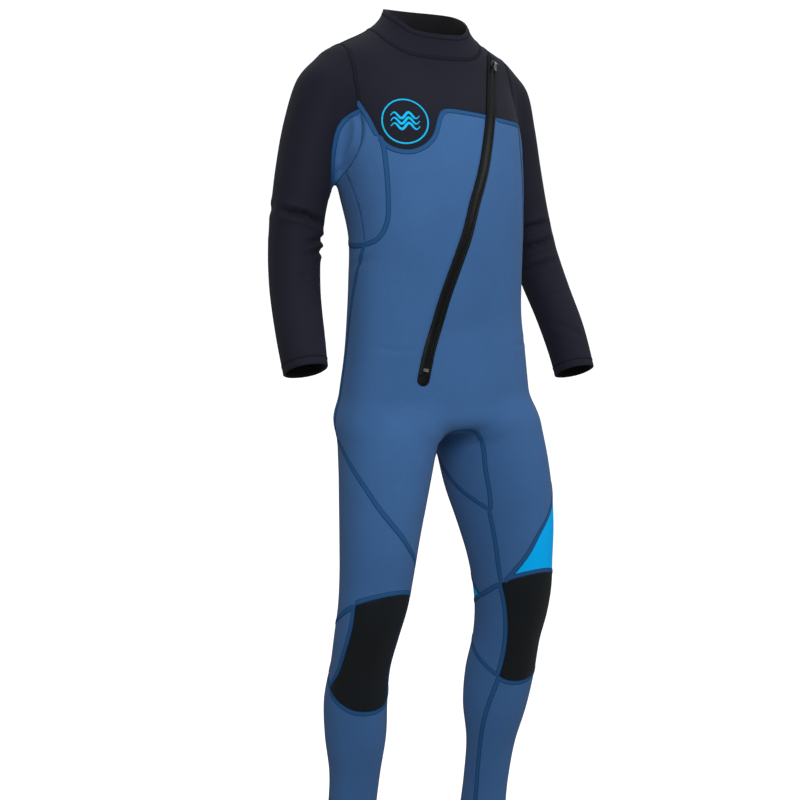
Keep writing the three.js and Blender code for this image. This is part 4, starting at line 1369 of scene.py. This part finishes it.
def chained(edges: np.ndarray) -> list[tuple[list[int], bool]]:
    """Joins loose edges into chains.

    Args:
        edges: The two points of each edge.

    Returns:
        For each chain its points in order, and whether it closes on itself.
    """
    links: dict[int, list[int]] = defaultdict(list)
    for a, b in edges:
        links[int(a)].append(int(b))
        links[int(b)].append(int(a))
    chains = []
    starts = [p for p, mates in links.items() if len(mates) != 2]
    for start in (*starts, *list(links)):
        while links[start]:
            chain = [start]
            while links[chain[-1]]:
                here = chain[-1]
                ahead = links[here].pop()
                links[ahead].remove(here)
                chain.append(ahead)
            closed = chain[0] == chain[-1]
            chains.append((chain[:-1] if closed else chain, closed))
    return chains


@dataclass
class ZipDressing:
    """What lies on the zip's tape: the flap, the teeth, the borders and the nub at the top."""

    zip_line: Zip
    pitch: float = 2.4

    def build(self, shop: Workshop) -> None:
        """Makes the flap, the teeth, the borders, the folded nub and gives the metal its finish."""
        form = self.zip_line.form
        line = resample(self.zip_line.on_form(3.0), 3.5)
        body = form.settle(line[1:-2], 2)
        share = np.linspace(0, 1, len(body))
        edge = 1.2 - 2.2 * np.clip((share - 0.55) / 0.25, 0, 1)
        flap = np.stack([np.stack([np.array([-9.6, -9.2, -7.5, -4.0, e - 1.2, e, e - 0.2, -9.4]),
                                   np.array([0.2, 1.9, 2.5, 2.6, 2.5, 1.9, 1.0, -0.9])], 1) for e in edge])
        tape = (shop.looks.of[Finish.TAPE],)
        shop.piece("zip_flap", Strip(form, body).swept(flap), tape, Finish.TAPE)
        border = domed(4.6, 9.7, 2.4)
        shop.piece("zip_border", Strip(form, body).swept(border), tape, Finish.TAPE)
        self._end(shop, line)
        self._teeth(shop, body)
        self._nub(shop, line)
        for name in ("zip_slider", "zip_pull_tab", "zip_lower_end"):
            thing = bpy.data.objects[name]
            thing.data.materials.clear()
            thing.data.materials.append(shop.looks.of[Finish.METAL])

    def _end(self, shop: Workshop, line: np.ndarray) -> None:
        """The rounded seam around the lower end of the tape."""
        form = self.zip_line.form
        strip = Strip(form, line)
        side, _ = strip.frames()
        tail = np.flatnonzero(np.arange(len(line)) > len(line) - 12)
        left, right = line[tail] - side[tail] * 8.6, line[tail] + side[tail] * 8.6
        way = unit(line[-1] - line[-2])
        turns = np.linspace(0, math.pi, 11)[1:-1]
        arc = line[-1] + np.outer(-np.cos(turns), side[-1]) * 8.6 + np.outer(np.sin(turns), way) * 8.6
        loop = form.settle(np.concatenate([left, arc, right[::-1]]), 3)
        shop.piece("zip_end_seam", Strip(form, resample(loop, 2.5)).swept(domed(-1.4, 1.4, 1.7)),
                   (shop.looks.of[Finish.TAPE],), Finish.TAPE)

    def _teeth(self, shop: Workshop, body: np.ndarray) -> None:
        """The row of coil teeth beside the flap."""
        form = self.zip_line.form
        spots = resample(body, self.pitch)
        strip = Strip(form, form.settle(spots, 2))
        side, out = strip.frames()
        along = unit(np.cross(side, out))
        teeth = []
        for place, (spot, across, up, down) in enumerate(zip(strip.line, side, out, along, strict=True)):
            if place < 12:
                continue
            lift = float(form.relief(spot[None])[0])
            rows = []
            for u in (0.6, 1.2, 2.8, 3.9, 4.4):
                rise = 2.2 if 1.0 < u < 4.0 else 1.2
                for d, h in ((-0.75, rise - 0.5), (-0.3, rise), (0.3, rise), (0.75, rise - 0.5), (0.75, -0.6),
                             (-0.75, -0.6)):
                    rows.append(spot + across * u + down * d + up * (lift + h))
            grid = np.arange(30).reshape(5, 6)
            quads = np.stack([grid[:-1], np.roll(grid[:-1], -1, 1), np.roll(grid[1:], -1, 1), grid[1:]], -1)
            teeth.append(Solid(np.array(rows), (quads.reshape(-1, 4), grid[:1, ::-1], grid[-1:])).turned_out())
        shop.piece("zip_teeth", Solid.joined(teeth), (shop.looks.teeth,), Finish.TAPE, replaced=("zip_coil",))

    def _nub(self, shop: Workshop, line: np.ndarray) -> None:
        """The folded end of the tape that stands up at the top of the zip."""
        form = self.zip_line.form
        strip = Strip(form, form.settle(resample(line[:5], 1.2), 2))
        share = np.linspace(0, 1, len(strip.line))
        rise = 5.8 * np.clip(np.sin(math.pi * (0.12 + 0.76 * share)), 0, 1) ** 0.4
        width = 5.2 * np.clip(np.sin(math.pi * (0.12 + 0.76 * share)), 0, 1) ** 0.3
        section = np.stack([
            np.stack([w * np.array([-1, -0.8, -0.3, 0.3, 0.8, 1, 1, -1]),
                      np.array([0.55 * h, 0.92 * h, h, h, 0.92 * h, 0.55 * h, 0.2, 0.2])], 1)
            for w, h in zip(width, rise, strict=True)])
        shop.piece("zip_nub", strip.swept(section), (shop.looks.of[Finish.BLACK],), Finish.TAPE,
                   replaced=("zip_top_end",))


@dataclass
class Badge:
    """The printed mark on the chest: a ring around three waves."""

    form: WornForm
    x: float = -96.0
    z: float = 1360.0
    radius: float = 38.5
    band: float = 2.6
    wave: float = 46.0
    swell: float = 5.0

    def build(self, shop: Workshop) -> None:
        """Makes the ring and its three waves."""
        outer = np.array([[self.x, -200.0, self.z]])
        centre = self.form.land(outer, outer + np.array([[0, 260.0, 0]]))[0]
        out = self.form.outward(centre[None])[0]
        across = unit(np.cross(np.array([0, 0, 1.0]), out))
        up = np.cross(out, across)
        print_look = (shop.looks.of[Finish.PRINT],)

        def flat(u: np.ndarray, v: np.ndarray) -> np.ndarray:
            """Points of the mark laid on the form."""
            return self.form.settle(centre + np.outer(u, across) + np.outer(v, up), 4)

        turn = np.linspace(0, 2 * math.pi, 96, endpoint=False)
        reach = self.radius - self.band / 2
        ring = Strip(self.form, flat(reach * np.cos(turn), reach * np.sin(turn)), True)
        half = self.band / 2
        shop.piece("badge_outline", ring.swept(domed(-half, half, 0.5, 0.3)), print_look, Finish.PRINT,
                   replaced=("badge_ring",))
        u = np.linspace(-0.5, 0.5, 48)
        for number, height in enumerate((9.0, 0.0, -9.0), 1):
            line = flat(u * self.wave, height + self.swell * np.sin(u * 4 * math.pi))
            grow = np.clip(np.cos(math.pi * u), 0.15, 1) ** 0.5
            section = np.stack([domed(-2.1 * g, 2.1 * g, 0.5, 0.3) for g in grow])
            shop.piece(f"badge_swell_{number}", Strip(self.form, line).swept(section), print_look, Finish.PRINT,
                       replaced=(f"badge_wave_{number}",))


# ---- the studio -----------------------------------------------------------------------------------------
@dataclass(frozen=True)
class Studio:
    """A pale floor, soft light from the front and above, and the camera."""

    background: float = 1.08
    fill: float = 0.34

    def build(self) -> None:
        """Sets the floor, the world, the lights and the camera."""
        bpy.ops.mesh.primitive_circle_add(vertices=96, radius=30, fill_type="NGON", location=(0, 0, -1.452))
        floor = bpy.context.active_object
        floor.name = "floor"
        pale = bpy.data.materials.new("pale floor")
        pale.use_nodes = True
        surface = pale.node_tree.nodes["Principled BSDF"]
        surface.inputs["Base Color"].default_value = (0.35, 0.35, 0.35, 1)
        surface.inputs["Roughness"].default_value = 0.9
        surface.inputs["Specular IOR Level"].default_value = 0.0
        surface.inputs["Emission Color"].default_value = (1, 1, 1, 1)
        g = Graph(pale.node_tree)
        seen = g.node("ShaderNodeLightPath").outputs["Is Camera Ray"]
        g.feed(surface.inputs["Emission Strength"], seen)
        floor.data.materials.append(pale)
        self._world()
        self._lamp("key", (-1.1, -2.3, 0.9), (0.0, -0.05, -0.1), 1.5, 54)
        self._lamp("side", (2.2, -1.3, 0.5), (0.0, 0.0, -0.2), 1.2, 17)
        self._lamp("top", (0.3, 0.5, 1.9), (0.0, 0.0, -0.1), 1.4, 14)
        data = bpy.data.cameras.new("camera")
        data.lens, data.sensor_width, data.clip_end = 56.7, 36.0, 200.0
        camera = bpy.data.objects.new("camera", data)
        camera.location = (-1.104, -1.8477, -0.290)
        camera.rotation_euler = (math.radians(83.2), 0.0, math.radians(-30.0))
        bpy.context.scene.collection.objects.link(camera)
        bpy.context.scene.camera = camera
        bpy.context.scene.view_settings.view_transform = "Standard"

    def _world(self) -> None:
        """Near white where it is seen, softer where it lights the suit."""
        world = bpy.data.worlds.new("studio")
        bpy.context.scene.world = world
        world.use_nodes = True
        g = Graph(world.node_tree)
        ground = world.node_tree.nodes["Background"]
        seen = g.node("ShaderNodeLightPath").outputs["Is Camera Ray"]
        ground.inputs["Color"].default_value = (0.95, 0.98, 1.0, 1.0)
        g.feed(ground.inputs["Strength"], g.between(seen, 0.0, 1.0, self.fill, self.background))

    @staticmethod
    def _lamp(name: str, place: tuple[float, float, float], aim: tuple[float, float, float], size: float,
              power: float) -> None:
        """Adds a large soft lamp.

        Args:
            name: What it is called.
            place: Where it is.
            aim: The point that it looks at.
            size: Its width in metres.
            power: Its strength in watts.
        """
        data = bpy.data.lights.new(name, "AREA")
        data.shape, data.size, data.energy = "DISK", size, power
        lamp = bpy.data.objects.new(name, data)
        z = unit(np.array(place) - np.array(aim))
        x = unit(np.cross(np.array([0, 0, 1.0]), z))
        y = np.cross(z, x)
        lamp.location = place
        turn = np.stack([x, y, z])
        lamp.rotation_euler = (math.atan2(turn[1, 2], turn[2, 2]), -math.asin(turn[0, 2]),
                               math.atan2(turn[0, 1], turn[0, 0]))
        bpy.context.scene.collection.objects.link(lamp)


def fold(depth: float, width: float, *line: tuple[float, float, float]) -> Crease:
    """A crease through some places."""
    return Crease(line, depth, width)


def folds() -> list[Crease | Swell]:
    """The folds of the worn cloth, the main ones in front and similar ones on the sides that are turned away."""
    both: list[Crease | Swell] = []
    for side in (-1, 1):
        both += [
            fold(3.5, 7.0, (side * 262, 76, 1228), (side * 236, 110, 1218), (side * 200, 96, 1214)),
            fold(3.0, 7.0, (side * 258, 84, 1188), (side * 236, 106, 1184), (side * 206, 92, 1186)),
            fold(2.0, 6.0, (side * 262, -40, 1010), (side * 246, -54, 1022), (side * 226, -30, 1030)),
            fold(2.4, 6.0, (side * 200, 60, 560), (side * 160, 52, 548), (side * 108, 40, 556)),
            fold(2.0, 6.0, (side * 196, 56, 520), (side * 156, 60, 508), (side * 108, 46, 516)),
            fold(1.6, 6.0, (side * 190, 70, 470), (side * 150, 78, 462), (side * 112, 60, 468)),
            fold(3.0, 6.0, (side * 26, -40, 826), (side * 60, -78, 862), (side * 104, -88, 894)),
            fold(1.8, 6.0, (side * 24, 80, 820), (side * 70, 118, 806), (side * 130, 108, 812)),
            fold(2.0, 6.0, (side * 156, 20, 1129), (side * 151, -10, 1140), (side * 140, -40, 1147)),
            fold(1.6, 6.0, (side * 150, 60, 1120), (side * 110, 96, 1106), (side * 50, 106, 1110)),
            fold(1.2, 5.0, (side * 150, -30, 1010), (side * 122, -70, 1002), (side * 84, -90, 1006)),
        ]
    both += [
        fold(9.0, 5.5, (-262, 52, 1224), (-254, 38, 1219), (-235, 23, 1215), (-216, 20, 1208), (-196, 34, 1198)),
        fold(5.0, 4.5, (-236, 14, 1170), (-218, 16, 1174), (-200, 30, 1176), (-190, 58, 1178)),
        fold(4.5, 4.5, (-240, 9, 1151), (-222, 11, 1155), (-204, 26, 1157), (-194, 54, 1158)),
        fold(2.5, 5.0, (-262, 20, 1110), (-244, -4, 1122), (-224, -2, 1128)),
        fold(7.5, 5.0, (188, 52, 1184), (200, 31, 1196), (222, 20, 1204), (246, 24, 1208)),
        fold(6.5, 5.0, (192, 44, 1158), (203, 28, 1164), (224, 16, 1172), (256, 22, 1180)),
        fold(4.5, 5.0, (196, 44, 1118), (208, 16, 1130), (232, 7, 1139), (256, 14, 1142)),
        fold(2.5, 5.0, (214, 2, 1070), (236, -12, 1080), (262, -8, 1086)),
        fold(5.0, 5.5, (-150, -2, 1376), (-151, -12, 1362), (-152, -16, 1340), (-156, -10, 1318), (-160, 8, 1298),
             (-165, 34, 1280)),
        fold(4.0, 5.0, (150, -2, 1376), (152, -14, 1340), (157, -6, 1312), (164, 24, 1284)),
        fold(3.0, 4.0, (-20, -76, 812), (2, -72, 836), (28, -62, 851)),
        fold(1.6, 6.0, (-60, 108, 1070), (0, 112, 1060), (60, 108, 1070)),
        Swell((-10, -100, 1030), (60, 60, 20), -2.0),
        Swell((20, -100, 905), (50, 60, 16), -1.6),
    ]
    return both


def main() -> None:
    """Builds the suit piece by piece and sets up the studio."""
    logging.basicConfig(level=logging.INFO, format="%(message)s")
    form = WornForm(folds=folds())
    zip_line = Zip(form)
    pattern = Pattern(form, zip_line)
    shop = Workshop(Looks())
    for part in (Cloth(pattern), Seams(pattern), ZipDressing(zip_line), Badge(form)):
        part.build(shop)
    Studio().build()


if __name__ == "__main__":
    main()
